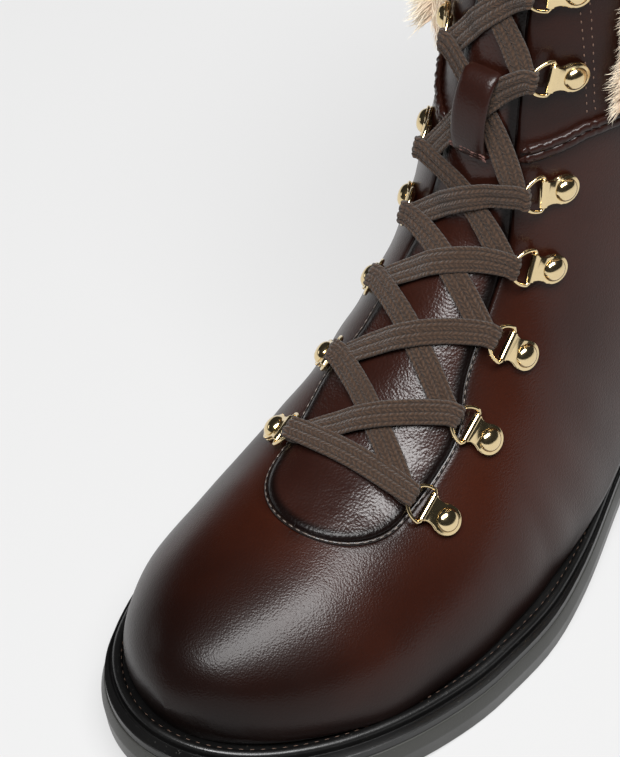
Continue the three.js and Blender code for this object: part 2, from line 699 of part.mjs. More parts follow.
// Lace: a bar across the lowest pair, then six crossings, each with the lace from the inner side on top.
function makeLace() {
  const inside = RING_DEPTH - BAR_PLACE + RING_WIRE / 2 + CLEARANCE;
  const reach = (pair, side) => {
    const turn = THREE.MathUtils.degToRad(pair.turn);
    const around = pair.around - inside * Math.cos(turn) * AROUND_PER_MM;
    return { row: rowAt(distanceAt(pair.row) - inside * Math.sin(turn)), around: side * around };
  };
  const rest = (v) => tongueLift(v) + LACE_LIFT + LACE_THICKNESS / 2;
  const low = (t, v) => THREE.MathUtils.lerp(rest(v), BAR_HEIGHT, Math.abs(2 * t - 1) ** 3);
  const high = (t, v) => low(t, v) + 0.93 * LACE_THICKNESS * Math.exp(-(((2 * t - 1) / 0.5) ** 4));
  const piece = (a, b, height) => strap(a, b, () => LACE_WIDTH, LACE_THICKNESS, height, 5);
  let lace = piece(reach(RING_PAIRS[0], -1), reach(RING_PAIRS[0], 1), low);
  for (let i = 1; i < RING_PAIRS.length; i += 1) {
    const [a, b] = [RING_PAIRS[i - 1], RING_PAIRS[i]];
    lace = lace.add(piece(reach(a, 1), reach(b, -1), low)).add(piece(reach(a, -1), reach(b, 1), high));
  }
  return geometryOf(lace);
}

// Keeper: a leather loop sewn to the tongue at both ends, arched over one crossing.
function makeKeeper() {
  const flat = CLEARANCE + KEEPER_THICKNESS / 2;
  const arch = (t, v) => tongueLift(v) + flat + KEEPER_ARCH * Math.sin(Math.PI * t) ** 0.36;
  const from = { row: KEEPER_ROW, around: 0 };
  const to = { row: rowAt(distanceAt(KEEPER_ROW) + KEEPER_LENGTH), around: 0 };
  const width = (t) => KEEPER_WIDTH * (1 - KEEPER_TAPER * t ** 4);
  return geometryOf(strap(from, to, width, KEEPER_THICKNESS, arch, 12));
}

// Section whose face is at a height, at a place round it, and the collar's height there.
function rowAtHeight(u, z) {
  let [low, high] = [8, LAST_ROW];
  for (let i = 0; i < 20; i += 1) {
    const mid = (low + high) / 2;
    if (skinPoint(mid, u).z < z) low = mid;
    else high = mid;
  }
  return (low + high) / 2;
}

function collarPoint(u, share, out, over) {
  const top = skinPoint(LAST_ROW, u).z;
  const z = THREE.MathUtils.lerp(SEAM_HEIGHT + CLEARANCE, top, share);
  const p = skin(rowAtHeight(u, z), u, out);
  p.z += over;
  return p;
}

// Fur collar: a thick band from one facing round the back to the other, turned in over the leather's top,
// with hanging locks.
const FUR_STEPS = 9;
function makeFur() {
  const outside = [[0, 0.5, 0], [0.06, 0.85, 0], [0.35, 1, 0], [0.75, 1, 0], [1, 0.85, 0.5], [1, 0.45, 1]];
  const inside = [[0, 0, 0], [0.06, 0, 0], [0.35, 0, 0], [0.75, 0, 0], [1, 0, 0.2], [1, -0.45, 0.5]];
  const profile = (u) => [
    ...outside.map(([share, out, over]) => collarPoint(u, share, out * FUR_DEPTH, over * FUR_RISE)),
    ...inside.map(([share, out, over]) => collarPoint(u, share, CLEARANCE + out * FUR_DEPTH,
      over * FUR_RISE + (share === 1 ? CLEARANCE : 0))).reverse(),
  ];
  const steps = Array.from({ length: FUR_STEPS + 1 }, (_, i) => i / FUR_STEPS);
  const places = steps.map((t) => THREE.MathUtils.lerp(FACING_AROUND, 1, t));
  const around = [...places, ...places.slice(0, -1).reverse().map((u) => -u)];
  let fur = solid(loft(around.map(profile)));
  for (let row = 0; row < LOCK_ROWS; row += 1) {
    for (let k = 0; k < LOCKS_AROUND; k += 1) {
      const turn = (k + (row % 2) / 2 + 0.3) / LOCKS_AROUND;
      const u = FACING_AROUND + (2 - 2 * FACING_AROUND) * turn;
      fur = fur.add(lock(u > 1 ? u - 2 : u, (row + 1.1) / (LOCK_ROWS + 0.6), k + row));
    }
  }
  return geometryOf(fur);
}

// Lock of fur that hangs from the collar's face and stands off it at its tip.
function lock(u, share, count) {
  const root = collarPoint(u, share, 0.7 * FUR_DEPTH, 0);
  const normal = skinNormal(rowAtHeight(u, root.z), u).setZ(0).normalize();
  const across = new THREE.Vector3(0, 0, 1).cross(normal);
  const sway = 0.25 * Math.sin(2.4 * count);
  const width = LOCK_WIDTH * (1 + 0.2 * Math.sin(1.7 * count));
  const ring = (down, out, size) => [[-1, -1], [-0.3, 1], [0.3, 1], [1, -1]].map(([a, b]) => root.clone()
    .add(new THREE.Vector3(0, 0, -down * LOCK_LENGTH))
    .addScaledVector(normal, out * FUR_DEPTH + b * size * width * 0.22)
    .addScaledVector(across, a * size * width / 2 + sway * down * LOCK_LENGTH));
  return solid(loft([ring(-0.1, 0.05, 0.5), ring(0.45, 0.34, 1), ring(1, 0.4, 0.25)]));
}

const MATERIALS = {
  leather: { color: 0x3a1a12, roughness: 0.4, metalness: 0 },
  plug: { color: 0x3f2017, roughness: 0.5, metalness: 0 },
  rubber: { color: 0x2f302f, roughness: 0.6, metalness: 0 },
  welt: { color: 0x141414, roughness: 0.55, metalness: 0 },
  footbed: { color: 0xcdbb9a, roughness: 0.9, metalness: 0 },
  fur: { color: 0xd9c6a5, roughness: 0.95, metalness: 0 },
  brass: { color: 0xe3cf9a, roughness: 0.2, metalness: 1 },
  lace: { color: 0x5a4633, roughness: 0.9, metalness: 0 },
};

const boot = new THREE.Group();
function place(name, geometry, material) {
  const finished = geometry.index ? geometry.toNonIndexed() : geometry;
  finished.computeVertexNormals();
  const mesh = new THREE.Mesh(finished, new THREE.MeshStandardMaterial(MATERIALS[material]));
  mesh.name = name;
  boot.add(mesh);
}

place('outsole', makeOutsole(), 'rubber');
place('heel', makeHeel(), 'rubber');
place('welt', makeWelt(), 'welt');
place('insole', makeInsole(), 'footbed');
place('upper', makeUpper(), 'leather');
place('tongue', makeTongue(), 'plug');
place('lace', makeLace(), 'lace');
place('keeper_loop', makeKeeper(), 'leather');
place('fur_collar', makeFur(), 'fur');
const clip = geometryOf(makeClip());
const ring = makeRing();
RING_PAIRS.forEach((pair, i) => {
  for (const [side, name] of [[1, 'outer'], [-1, 'inner']]) {
    const matrix = clipMatrix(clipFrame(pair, side), side);
    place(`clip_${name}_${i + 1}`, clip.clone().applyMatrix4(matrix), 'brass');
    place(`ring_${name}_${i + 1}`, ring.clone().applyMatrix4(matrix), 'brass');
  }
});

// The origin is under the middle of the sole.
const widest = outline(SPRING_START * 0.97, EDGE);
boot.position.set(-SOLE_LENGTH / 2, -widest.middle, 0);

const group = new THREE.Group();
group.add(boot);
export default group;
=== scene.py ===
# %% [markdown]
# # A laced winter boot
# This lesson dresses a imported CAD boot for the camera. The CAD model is the fixed frame: every piece made
# here stands in the same place as the solid that it replaces. The long curved pieces come from one short rule,
# the boot's form, so leather, tongue, seams and laces all lie on the same surface.

# %% Load the frame
import json
import math

import bpy
import bmesh
import numpy as np
from mathutils import Matrix, Vector

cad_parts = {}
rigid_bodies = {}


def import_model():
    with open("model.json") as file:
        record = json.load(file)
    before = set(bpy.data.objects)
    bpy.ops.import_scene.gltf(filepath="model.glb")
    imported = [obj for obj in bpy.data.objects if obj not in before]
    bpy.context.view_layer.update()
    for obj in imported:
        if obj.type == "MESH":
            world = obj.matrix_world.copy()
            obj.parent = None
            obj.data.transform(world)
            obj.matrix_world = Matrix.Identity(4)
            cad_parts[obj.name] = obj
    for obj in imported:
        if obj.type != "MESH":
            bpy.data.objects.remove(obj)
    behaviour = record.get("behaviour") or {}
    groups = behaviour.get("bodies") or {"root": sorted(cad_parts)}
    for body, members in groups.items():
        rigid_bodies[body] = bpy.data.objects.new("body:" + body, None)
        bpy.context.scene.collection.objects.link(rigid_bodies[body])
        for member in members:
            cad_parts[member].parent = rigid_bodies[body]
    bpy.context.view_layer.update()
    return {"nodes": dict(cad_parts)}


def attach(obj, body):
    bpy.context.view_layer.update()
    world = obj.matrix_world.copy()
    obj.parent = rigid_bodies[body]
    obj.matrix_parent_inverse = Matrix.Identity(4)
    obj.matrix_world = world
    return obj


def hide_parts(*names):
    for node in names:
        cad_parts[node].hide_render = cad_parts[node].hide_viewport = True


for leftover in list(bpy.data.objects):
    bpy.data.objects.remove(leftover)
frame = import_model()
print("CAD nodes:", len(frame["nodes"]))

# %% [markdown]
# ## The boot's own sizes
# A last maker works from a few sizes and a table of sections, and so does this script. All of them are in
# millimetres, measured from the back of the heel, as in the part's source. Blender works in metres, so a point
# is moved and scaled once, when its mesh is made.

# %% Sizes of sole and upper
SOLE_LENGTH, BALL_WIDTH, SEAT_WIDTH, TOE_ROUND = 272, 93.2, 66, 72
OUTSOLE_THICKNESS, WELT_THICKNESS = 9, 2.9
HEEL_LIFT, HEEL_LENGTH, BREAST_SLANT = 11, 79, 6
TOE_SPRING, SPRING_START, TREAD_START = 6, 200, 150
TOE_MARGIN, SIDE_MARGIN, BACK_MARGIN, INWARD_SHIFT = 9.5, 6.6, 4, 1.2
SHAFT_HEIGHT, LEATHER, INWARD_LEAN, LOWER_ROUND = 176, 2.2, 0.068, 2.4
SEAM_HEIGHT, SEAM_SLOPE, FACING_END, SEAM_STEP, COUNTER_STEP = 124.5, 0.28, 131, 0.8, 0.9
COUNTER_LENGTH, COUNTER_HEIGHT = 52, 62
THROAT_ROW, THROAT_ROUND = 4.66, 17
TONGUE_RISE, PLUG_PUFF, TONGUE_DIP = 7, 1.3, 1.4
CLEARANCE = 0.3
FEATHER = OUTSOLE_THICKNESS + WELT_THICKNESS
HEEL_ROW = 15

# %% Outline of the sole and sections of the upper
OUTLINE = {
    "at": [0, 0.13, 0.29, 0.44, 0.59, 0.66, 0.735, 0.81, 0.88, 0.94, 1],
    "ofBall": [0, 0, 0, 0.354, 0.452, 0.493, 0.5, 0.495, 0.495, 0.503, 0.51],
    "ofSeat": [0.5, 0.5, 0.485, 0, 0, 0, 0, 0, 0, 0, 0],
    "middle": [0, 0, 0.01, 0.03, 0.045, 0.037, 0.021, 0.003, -0.014, -0.03, -0.035],
}
OUTLINE = {name: np.array(column, float) for name, column in OUTLINE.items()}
SECTION_NAMES = ("ridgeX", "ridgeZ", "ridgeY", "base", "rise", "half", "widest", "crown")
SECTION_ROWS = [
    (0.9754, 0.153, -0.046, 1, 0, 0, 0.6, 2.1),
    (0.969, 0.187, -0.041, 0.991, 0, 0.122, 0.75, 2.1),
    (0.947, 0.226, -0.027, 0.9645, 0, 0.232, 0.86, 2.1),
    (0.905, 0.255, -0.009, 0.9225, 0, 0.327, 0.92, 2.05),
    (0.85, 0.277, 0.009, 0.8678, 0, 0.4, 0.96, 2),
    (0.787, 0.3, 0.021, 0.8039, 0, 0.43, 0.98, 1.95),
    (0.726, 0.328, 0.027, 0.7353, 0, 0.44, 0.98, 1.95),
    (0.667, 0.394, 0.027, 0.6474, 0, 0.42, 0.96, 1.95),
    (0.613, 0.471, 0.027, 0.5549, 0, 0.4, 0.93, 1.95),
    (0.566, 0.548, 0.027, 0.447, 0, 0.375, 0.85, 2),
    (0.551, 0.606, 0.027, 0.3391, 0, 0.365, 0.75, 2.05),
    (0.545, 0.649, 0.027, 0.2312, 0, 0.366, 0.67, 2.1),
    (0.535, 0.707, 0.027, 0.131, 0, 0.366, 0.6, 2.1),
    (0.531, 0.741, 0.027, 0.0609, 0, 0.366, 0.56, 2.1),
    (0.527, 0.775, 0.027, 0.0162, 0, 0.366, 0.54, 2.1),
    (0.522, 0.807, 0.027, 0, 0, 0.366, 0.52, 2.1),
    (0.516, 0.843, 0.027, -0.005, 0.125, 0.368, 0.5, 2.1),
    (0.51, 0.876, 0.027, 0.008, 0.295, 0.37, 0.5, 2.1),
    (0.503, 0.908, 0.027, 0.027, 0.466, 0.374, 0.5, 2.1),
    (0.497, 0.942, 0.027, 0.0424, 0.636, 0.38, 0.5, 2.1),
    (0.49, 0.976, 0.027, 0.0578, 0.778, 0.385, 0.5, 2.1),
    (0.486, 1, 0.027, 0.0674, 0.847, 0.387, 0.5, 2.1),
]
SECTIONS = dict(zip(SECTION_NAMES, np.array(SECTION_ROWS, float).T))
LAST_ROW = len(SECTION_ROWS) - 1
THROAT_AT = np.array([0, 0.1, 0.2, 0.26, 0.33, 0.45, 0.55, 0.65, 0.8, 1])
THROAT_HALF = np.array([0.185, 0.188, 0.2, 0.198, 0.158, 0.135, 0.122, 0.102, 0.086, 0.062])
# Ring pairs: the section, the place round it, how far the outer and inner clips sink into the form, and how
# many degrees each clip is turned up towards the collar
RING_PAIRS = [
    (6.09, 0.194, 0, 0.27, 15), (7.2, 0.195, 0, 0.26, 15), (8.28, 0.192, 0.05, 0.33, 18),
    (9.5, 0.186, 0.03, 0.28, 30), (11.43, 0.17, 0.25, 0.33, 32), (15.6, 0.15, 0.04, 0.04, 20),
    (18.6, 0.126, 0, 0, 10),
]
print("sections:", LAST_ROW + 1, "ring pairs:", len(RING_PAIRS))

# %% [markdown]
# ## The form
# A smooth value through a table gives the sole's outline, and another through the sections gives a slice of
# the upper. A point on the leather then has two coordinates: v counts the sections from toe to collar, and u
# goes from the ridge (0) down the outer side (1) or the inner side (-1).


# %% Smooth values through the tables
def along(keys, values, x):
    last = len(keys) - 1
    i = np.clip(np.searchsorted(keys, x, side="right") - 1, 0, last - 1)
    before, after = np.maximum(np.arange(last + 1) - 1, 0), np.minimum(np.arange(last + 1) + 1, last)
    slope = (values[after] - values[before]) / (keys[after] - keys[before])
    span = keys[i + 1] - keys[i]
    t = np.clip((x - keys[i]) / span, 0, 1)
    start = (1 + 2 * t) * (1 - t) ** 2 * values[i] + t * (1 - t) ** 2 * span * slope[i]
    return start + t * t * (3 - 2 * t) * values[i + 1] - t * t * (1 - t) * span * slope[i + 1]


def section(column, v):
    rows = SECTIONS[column]
    rows = np.concatenate([[2 * rows[0] - rows[1]], rows, [2 * rows[-1] - rows[-2]]])
    i = np.clip(np.floor(v).astype(int), 0, LAST_ROW - 1)
    t = v - i
    a, b, c, d = (rows[i + k] for k in range(4))
    return b + 0.5 * t * (c - a + t * (2 * a - 5 * b + 4 * c - d + t * (3 * (b - c) + d - a)))


def smooth(x, low, high):
    t = np.clip((x - low) / (high - low), 0, 1)
    return t * t * (3 - 2 * t)


def underside(x):
    spring = TOE_SPRING * np.clip((x - SPRING_START) / (SOLE_LENGTH - SPRING_START), 0, 1) ** 2
    return spring + HEEL_LIFT * smooth(TREAD_START - x, 0, TREAD_START - HEEL_LENGTH)


# %% The sole's outline with margins at toe, side and back
def outline(x, margin):
    toe, side, back, inward = margin
    at = np.clip((x - back) / (SOLE_LENGTH - back - toe), 0, 1)
    heel_cap = np.maximum(1 - at / (SEAT_WIDTH / 2 / SOLE_LENGTH), 0)
    toe_cap = np.maximum(1 - (1 - at) / (TOE_ROUND / SOLE_LENGTH), 0)
    cap = np.sqrt(np.maximum(1 - heel_cap**2, 0)) * np.sqrt(np.maximum(1 - toe_cap**2, 0))
    full = along(OUTLINE["at"], OUTLINE["ofBall"], at) * BALL_WIDTH
    full = full + along(OUTLINE["at"], OUTLINE["ofSeat"], at) * SEAT_WIDTH
    middle = along(OUTLINE["at"], OUTLINE["middle"], at) * BALL_WIDTH
    half = full * cap * (1 - side / (BALL_WIDTH / 2))
    return half, middle - inward * smooth(x, HEEL_LENGTH, SPRING_START)


EDGE = (0, 0, 0, 0)
MARGIN = (TOE_MARGIN, SIDE_MARGIN, BACK_MARGIN, INWARD_SHIFT)
ORIGIN = np.array([SOLE_LENGTH / 2, float(outline(np.float64(SPRING_START * 0.97), EDGE)[1]), 0])
print("origin of the row frame, from the heel:", ORIGIN)


def grown(margin, by):
    return (margin[0] + by, margin[1] + by, margin[2] + by, margin[3])


# %% Points and normals of the leather's face
def skin_point(v, u):
    v, u = np.broadcast_arrays(np.asarray(v, float), np.asarray(u, float))
    base_x = BACK_MARGIN + section("base", v) * (SOLE_LENGTH - BACK_MARGIN - TOE_MARGIN)
    edge, middle = outline(base_x, MARGIN)
    on_sole = v <= HEEL_ROW
    foot = np.where(on_sole, edge, 0)
    heel = underside(np.float64(BACK_MARGIN))
    base_z = (
        np.where(on_sole, underside(base_x), heel + section("rise", v) * SHAFT_HEIGHT) + FEATHER
        + CLEARANCE
    )
    half = np.maximum(np.maximum(section("half", v) * BALL_WIDTH, foot * 1.012), 0.001)
    widest, crown = section("widest", v), section("crown", v)
    a = np.abs(u)
    turn = np.minimum(a, 0.5) * math.pi
    y_top = half * np.sin(turn) ** (2 / crown)
    q_top = widest * (1 - np.maximum(np.cos(turn), 0) ** (2 / crown))
    reach = np.maximum(1 - np.minimum(foot / half, 1) ** LOWER_ROUND, 1e-9) ** (1 / LOWER_ROUND)
    turn = np.maximum(2 * a - 1, 0) * np.arcsin(reach ** (LOWER_ROUND / 2))
    y_low = half * np.maximum(np.cos(turn), 0) ** (2 / LOWER_ROUND)
    q_low = widest + (1 - widest) * np.sin(turn) ** (2 / LOWER_ROUND) / reach
    y, q = np.where(a <= 0.5, y_top, y_low), np.where(a <= 0.5, q_top, q_low)
    ridge = [
        section("ridgeX", v) * SOLE_LENGTH, section("ridgeY", v) * BALL_WIDTH,
        section("ridgeZ", v) * SHAFT_HEIGHT
    ]
    base = [base_x, np.where(on_sole, middle, 0), base_z]
    p = np.stack([r + (b - r) * q for r, b in zip(ridge, base)], -1)
    p[..., 1] += np.sign(u) * y
    p[..., 2] -= INWARD_LEAN * np.sign(u) * y * (1 - q)
    return p


def full_turn(count):
    """Angles of points evenly spaced round a circle."""
    return np.linspace(0, 2 * math.pi, count + 1)[:-1]


def unit(vectors):
    return vectors / np.maximum(np.linalg.norm(vectors, axis=-1, keepdims=True), 1e-12)


def skin_normal(v, u):
    v, u = np.broadcast_arrays(np.asarray(v, float), np.asarray(u, float))
    rise = skin_point(np.minimum(v + 0.03, LAST_ROW), u) - skin_point(np.maximum(v - 0.03, 0), u)
    across = skin_point(v, np.minimum(u + 0.012, 1)) - skin_point(v, np.maximum(u - 0.012, -1))
    normal = -np.cross(rise, across)
    closed = (v == 0) | ((v >= HEEL_ROW) & (np.abs(u) == 1)) | (u == 0)
    normal[..., 1] = np.where(closed, 0, normal[..., 1])
    return unit(normal)


def skin(v, u, out):
    return skin_point(v, u) + skin_normal(v, u) * np.asarray(out, float)[..., None]


# %% Distances along the ridge, and the throat
RIDGE_V = np.linspace(0, LAST_ROW, 421)
RIDGE_P = skin_point(RIDGE_V, 0 * RIDGE_V)
RIDGE_S = np.concatenate([[0], np.cumsum(np.linalg.norm(np.diff(RIDGE_P, axis=0), axis=1))])
RIDGE_LENGTH = RIDGE_S[-1]


def distance_at(v):
    return np.interp(v, RIDGE_V, RIDGE_S)


def row_at(s):
    return np.interp(s, RIDGE_S, RIDGE_V)


THROAT_START = float(distance_at(THROAT_ROW))


def throat_half(s, grow=0.0):
    at = np.clip((s - THROAT_START) / (RIDGE_LENGTH - THROAT_START), 0, 1)
    into = np.clip((THROAT_START + THROAT_ROUND - s) / (THROAT_ROUND + grow), 0, 1)
    return (along(THROAT_AT, THROAT_HALF, at) * BALL_WIDTH + grow) * np.sqrt(1 - into**2)


def around_at(v, y):
    """Place round section v whose side distance from the ridge is y."""
    half = section("half", v) * BALL_WIDTH
    edge, _ = outline(BACK_MARGIN + section("base", v) * (SOLE_LENGTH - BACK_MARGIN - TOE_MARGIN), MARGIN)
    half = np.maximum(half, np.where(v <= HEEL_ROW, edge * 1.012, 0)) + 1e-6
    return np.arcsin(np.clip(y / half, 0, 1) ** (section("crown", v) / 2)) / math.pi


print("throat from", round(THROAT_START, 1), "to", round(float(RIDGE_LENGTH), 1), "mm along the ridge")


# %% [markdown]
# ## Mesh helpers
# Most pieces are a grid of points: rows along the piece and columns across it. One helper turns such a grid
# into a mesh in the row frame, and can close it round, cap its ends, and store a value for each point.


# %% From a grid of points to a mesh
def make_mesh(name, points, faces, values=None, uv=None):
    points = (np.asarray(points, float).reshape(-1, 3) - ORIGIN) / 1000
    mesh = bpy.data.meshes.new(name)
    mesh.from_pydata(points.tolist(), [], faces)
    for key, value in (values or {}).items():
        layer = mesh.attributes.new(key, "FLOAT", "POINT")
        layer.data.foreach_set("value", np.asarray(value, np.float32).ravel())
    if uv is not None:
        layer = mesh.uv_layers.new(name="UVMap")
        corners = np.zeros(len(mesh.loops), np.int32)
        mesh.loops.foreach_get("vertex_index", corners)
        layer.data.foreach_set("uv", np.asarray(uv, np.float32).reshape(-1, 2)[corners].ravel())
    mesh.polygons.foreach_set("use_smooth", [True] * len(mesh.polygons))
    mesh.update()
    return mesh


def grid_faces(rows, columns, round_rows=False, round_columns=False, start=0, turned=False):
    faces = []
    for i in range(rows if round_rows else rows - 1):
        a, b = start + i * columns, start + ((i + 1) % rows) * columns
        for j in range(columns if round_columns else columns - 1):
            k = (j + 1) % columns
            faces.append((a + j, b + j, b + k, a + k)[:: -1 if turned else 1])
    return faces


def add_object(name, mesh, *materials):
    piece = bpy.data.objects.new(name, mesh)
    bpy.context.scene.collection.objects.link(piece)
    for material in materials:
        mesh.materials.append(material)
    return piece


def tidy(mesh, distance=1e-5, flip_check=True):
    bm = bmesh.new()
    bm.from_mesh(mesh)
    bmesh.ops.remove_doubles(bm, verts=bm.verts, dist=distance)
    bmesh.ops.dissolve_degenerate(bm, edges=bm.edges, dist=1e-7)
    if flip_check:
        bmesh.ops.recalc_face_normals(bm, faces=bm.faces)
    bm.to_mesh(mesh)
    bm.free()
    mesh.update()


def apply_modifiers(piece):
    """Bakes live modifiers into the mesh, so that the piece is final."""
    graph = bpy.context.evaluated_depsgraph_get()
    mesh = bpy.data.meshes.new_from_object(piece.evaluated_get(graph))
    piece.modifiers.clear()
    piece.data = mesh
    return piece


def finish_piece(piece, slot, *nodes):
    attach(piece, "root")
    if nodes:
        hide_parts(*nodes)
    mesh = piece.data
    mesh.calc_loop_triangles()
    print(piece.name, len(mesh.loop_triangles), "triangles")
    return piece


# %% [markdown]
# ## Camera
# The photograph looks down on the toe from the outer side, close by, with a long lens. The camera is placed by
# two angles, a roll and a distance from a point on the instep.

# %% Camera at the photograph's angle
TURN, RAISE, ROLL = math.radians(37), math.radians(44), math.radians(-1.7)
DISTANCE, FOCAL_PIXELS, IMAGE_HEIGHT, SENSOR = 0.809, 3197, 757, 36
LOOK_AT = [167, -33, 40]
target = Vector((np.array(LOOK_AT) - ORIGIN) / 1000)
back = Vector((math.cos(TURN) * math.cos(RAISE), math.sin(TURN) * math.cos(RAISE), math.sin(RAISE)))
right = Vector((-math.sin(TURN), math.cos(TURN), 0))
up = back.cross(right)
right, up = math.cos(ROLL) * right + math.sin(ROLL) * up, math.cos(ROLL) * up - math.sin(ROLL) * right
camera = bpy.data.objects.new("camera", bpy.data.cameras.new("camera"))
camera_axes = Matrix((right, up, back)).transposed().to_4x4()
camera.matrix_world = Matrix.Translation(target + back * DISTANCE) @ camera_axes
camera.data.lens = FOCAL_PIXELS / IMAGE_HEIGHT * SENSOR
camera.data.sensor_width = SENSOR
camera.data.clip_start = 0.01
bpy.context.scene.collection.objects.link(camera)
bpy.context.scene.camera = camera
print("lens", round(camera.data.lens, 1), "mm")


# %% [markdown]
# ## Materials
# A small helper adds a node and wires it. The leather's grain, which several finishes use, is a node
# group with named inputs, so each leather gives its own sizes; the soft mottling of its dye is a noise node in
# each leather.


# %% Node helpers
def add_node(tree, kind, inputs=None, **settings):
    node = tree.nodes.new(kind)
    for key, value in settings.items():
        setattr(node, key, value)
    for key, value in (inputs or {}).items():
        if isinstance(value, bpy.types.NodeSocket):
            tree.links.new(value, node.inputs[key])
        else:
            node.inputs[key].default_value = value
    return node


def math_node(tree, operation, *values, clamp=False):
    node = add_node(tree, "ShaderNodeMath", operation=operation, use_clamp=clamp)
    for i, value in enumerate(values):
        if isinstance(value, bpy.types.NodeSocket):
            tree.links.new(value, node.inputs[i])
        else:
            node.inputs[i].default_value = value
    return node.outputs[0]


def mix_color(tree, share, first, second):
    node = add_node(tree, "ShaderNodeMix", data_type="RGBA")
    for socket, value in ((node.inputs[0], share), (node.inputs[6], first), (node.inputs[7], second)):
        if isinstance(value, bpy.types.NodeSocket):
            tree.links.new(value, socket)
        else:
            socket.default_value = value if isinstance(value, (int, float)) else (*value, 1)
    return node.outputs[2]


def new_material(name):
    material = bpy.data.materials.new(name)
    material.use_nodes = True
    return material, material.node_tree, material.node_tree.nodes["Principled BSDF"]


def object_place(tree):
    return tree.nodes.new("ShaderNodeTexCoord").outputs["Object"]


def add_bump(tree, shader, height, strength, distance):
    bump = add_node(tree, "ShaderNodeBump", {"Height": height, "Strength": strength, "Distance": distance})
    tree.links.new(bump.outputs["Normal"], shader.inputs["Normal"])
    return bump


def new_group(name, inputs, outputs):
    group = bpy.data.node_groups.new(name, "ShaderNodeTree")
    for socket, value in inputs.items():
        made = group.interface.new_socket(socket, in_out="INPUT", socket_type="NodeSocketFloat")
        made.default_value = value
    for socket in outputs:
        group.interface.new_socket(socket, in_out="OUTPUT", socket_type="NodeSocketFloat")
    return group, group.nodes.new("NodeGroupInput"), group.nodes.new("NodeGroupOutput")


# %% Leather grain: pebbles with fine pores, in cells per metre
grain, grain_in, grain_out = new_group(
    "leather grain", {"Cells": 1500.0, "Warp": 0.35, "Creases": 60.0}, ["Height", "Soft"]
)
place = object_place(grain)
bend = add_node(grain, "ShaderNodeTexNoise", {"Vector": place, "Scale": 420.0, "Detail": 2.0})
bend_size = math_node(grain, "MULTIPLY", grain_in.outputs["Warp"], 0.0012)
bent = add_node(grain, "ShaderNodeVectorMath", {0: bend.outputs["Color"]}, operation="SCALE")
grain.links.new(bend_size, bent.inputs["Scale"])
moved = add_node(grain, "ShaderNodeVectorMath", {0: place, 1: bent.outputs[0]}, operation="ADD").outputs[0]
cells = add_node(
    grain, "ShaderNodeTexVoronoi",
    {"Vector": moved, "Scale": grain_in.outputs["Cells"], "Smoothness": 0.6}, feature="SMOOTH_F1"
)
pebble = math_node(grain, "SUBTRACT", 0.75, cells.outputs["Distance"])
fine_scale = math_node(grain, "MULTIPLY", grain_in.outputs["Cells"], 2.3)
fine = add_node(grain, "ShaderNodeTexNoise", {"Vector": moved, "Scale": fine_scale, "Detail": 1.0})
pebble = math_node(grain, "ADD", pebble, math_node(grain, "MULTIPLY", fine.outputs["Fac"], 0.35))
grain.links.new(pebble, grain_out.inputs["Height"])
soft = add_node(
    grain, "ShaderNodeTexNoise",
    {"Vector": place, "Scale": grain_in.outputs["Creases"], "Detail": 1.0, "Roughness": 0.5}
)
grain.links.new(soft.outputs["Fac"], grain_out.inputs["Soft"])
print("group:", grain.name)


# %% [markdown]
# ### Polished leather
# Dark brown leather is burnished almost black at its edges and shows red-brown in the middle of its panels.
# The
# mesh stores two values: burnish mixed with painted shade (near the sole, at the toe, under the ankle seam and
# on the inner side), and a warm tone that also paints light in lighter patches on the lit side. The shader
# mixes three browns by these values and a soft noise, and thins the coat where the shade is painted. Gloss
# comes from a moderately rough base under a smoother thin coat, broken up by the grain.


# %% Leather
def leather(name, deep, middle, warm, cells, depth, roughness, coat, creases=60.0, swell=1.0):
    material, tree, shader = new_material(name)
    texture = add_node(tree, "ShaderNodeGroup")
    texture.node_tree = grain
    texture.inputs["Cells"].default_value = cells
    texture.inputs["Creases"].default_value = creases
    # Burnish and painted shade darken the colour and thin the coat; painted light warms it in patches
    burnish_and_shade = add_node(tree, "ShaderNodeAttribute", attribute_name="burnish_and_shade").outputs["Fac"]
    warmth_and_painted_light = add_node(tree, "ShaderNodeAttribute", attribute_name="warmth_and_painted_light").outputs["Fac"]
    mottle = add_node(tree, "ShaderNodeTexNoise", {"Scale": 38.0, "Detail": 4.0})
    tree.links.new(object_place(tree), mottle.inputs["Vector"])
    share = math_node(tree, "MULTIPLY_ADD", mottle.outputs["Fac"], 1.3, -0.35, clamp=True)
    color = mix_color(tree, share, middle, warm)
    color = mix_color(tree, math_node(tree, "MULTIPLY", warmth_and_painted_light, 0.85, clamp=True), color, warm)
    color = mix_color(tree, burnish_and_shade, color, deep)
    pores = math_node(tree, "MULTIPLY_ADD", texture.outputs["Height"], -0.5, 0.62, clamp=True)
    color = mix_color(tree, math_node(tree, "MULTIPLY", pores, 0.5), color, deep)
    tree.links.new(color, shader.inputs["Base Color"])
    rough = math_node(tree, "MULTIPLY_ADD", texture.outputs["Soft"], 0.16, roughness - 0.08)
    tree.links.new(
        math_node(tree, "ADD", rough, math_node(tree, "MULTIPLY", pores, 0.12)),
        shader.inputs["Roughness"]
    )
    height = math_node(tree, "MULTIPLY_ADD", texture.outputs["Soft"], swell, texture.outputs["Height"])
    bump = add_bump(tree, shader, height, 0.8, depth / 1000)
    tree.links.new(bump.outputs["Normal"], shader.inputs["Coat Normal"])
    tree.links.new(
        math_node(tree, "MULTIPLY_ADD", burnish_and_shade, -0.7 * coat, coat), shader.inputs["Coat Weight"]
    )
    shader.inputs["Coat Roughness"].default_value = 0.2
    shader.inputs["Specular IOR Level"].default_value = 0.14
    return material


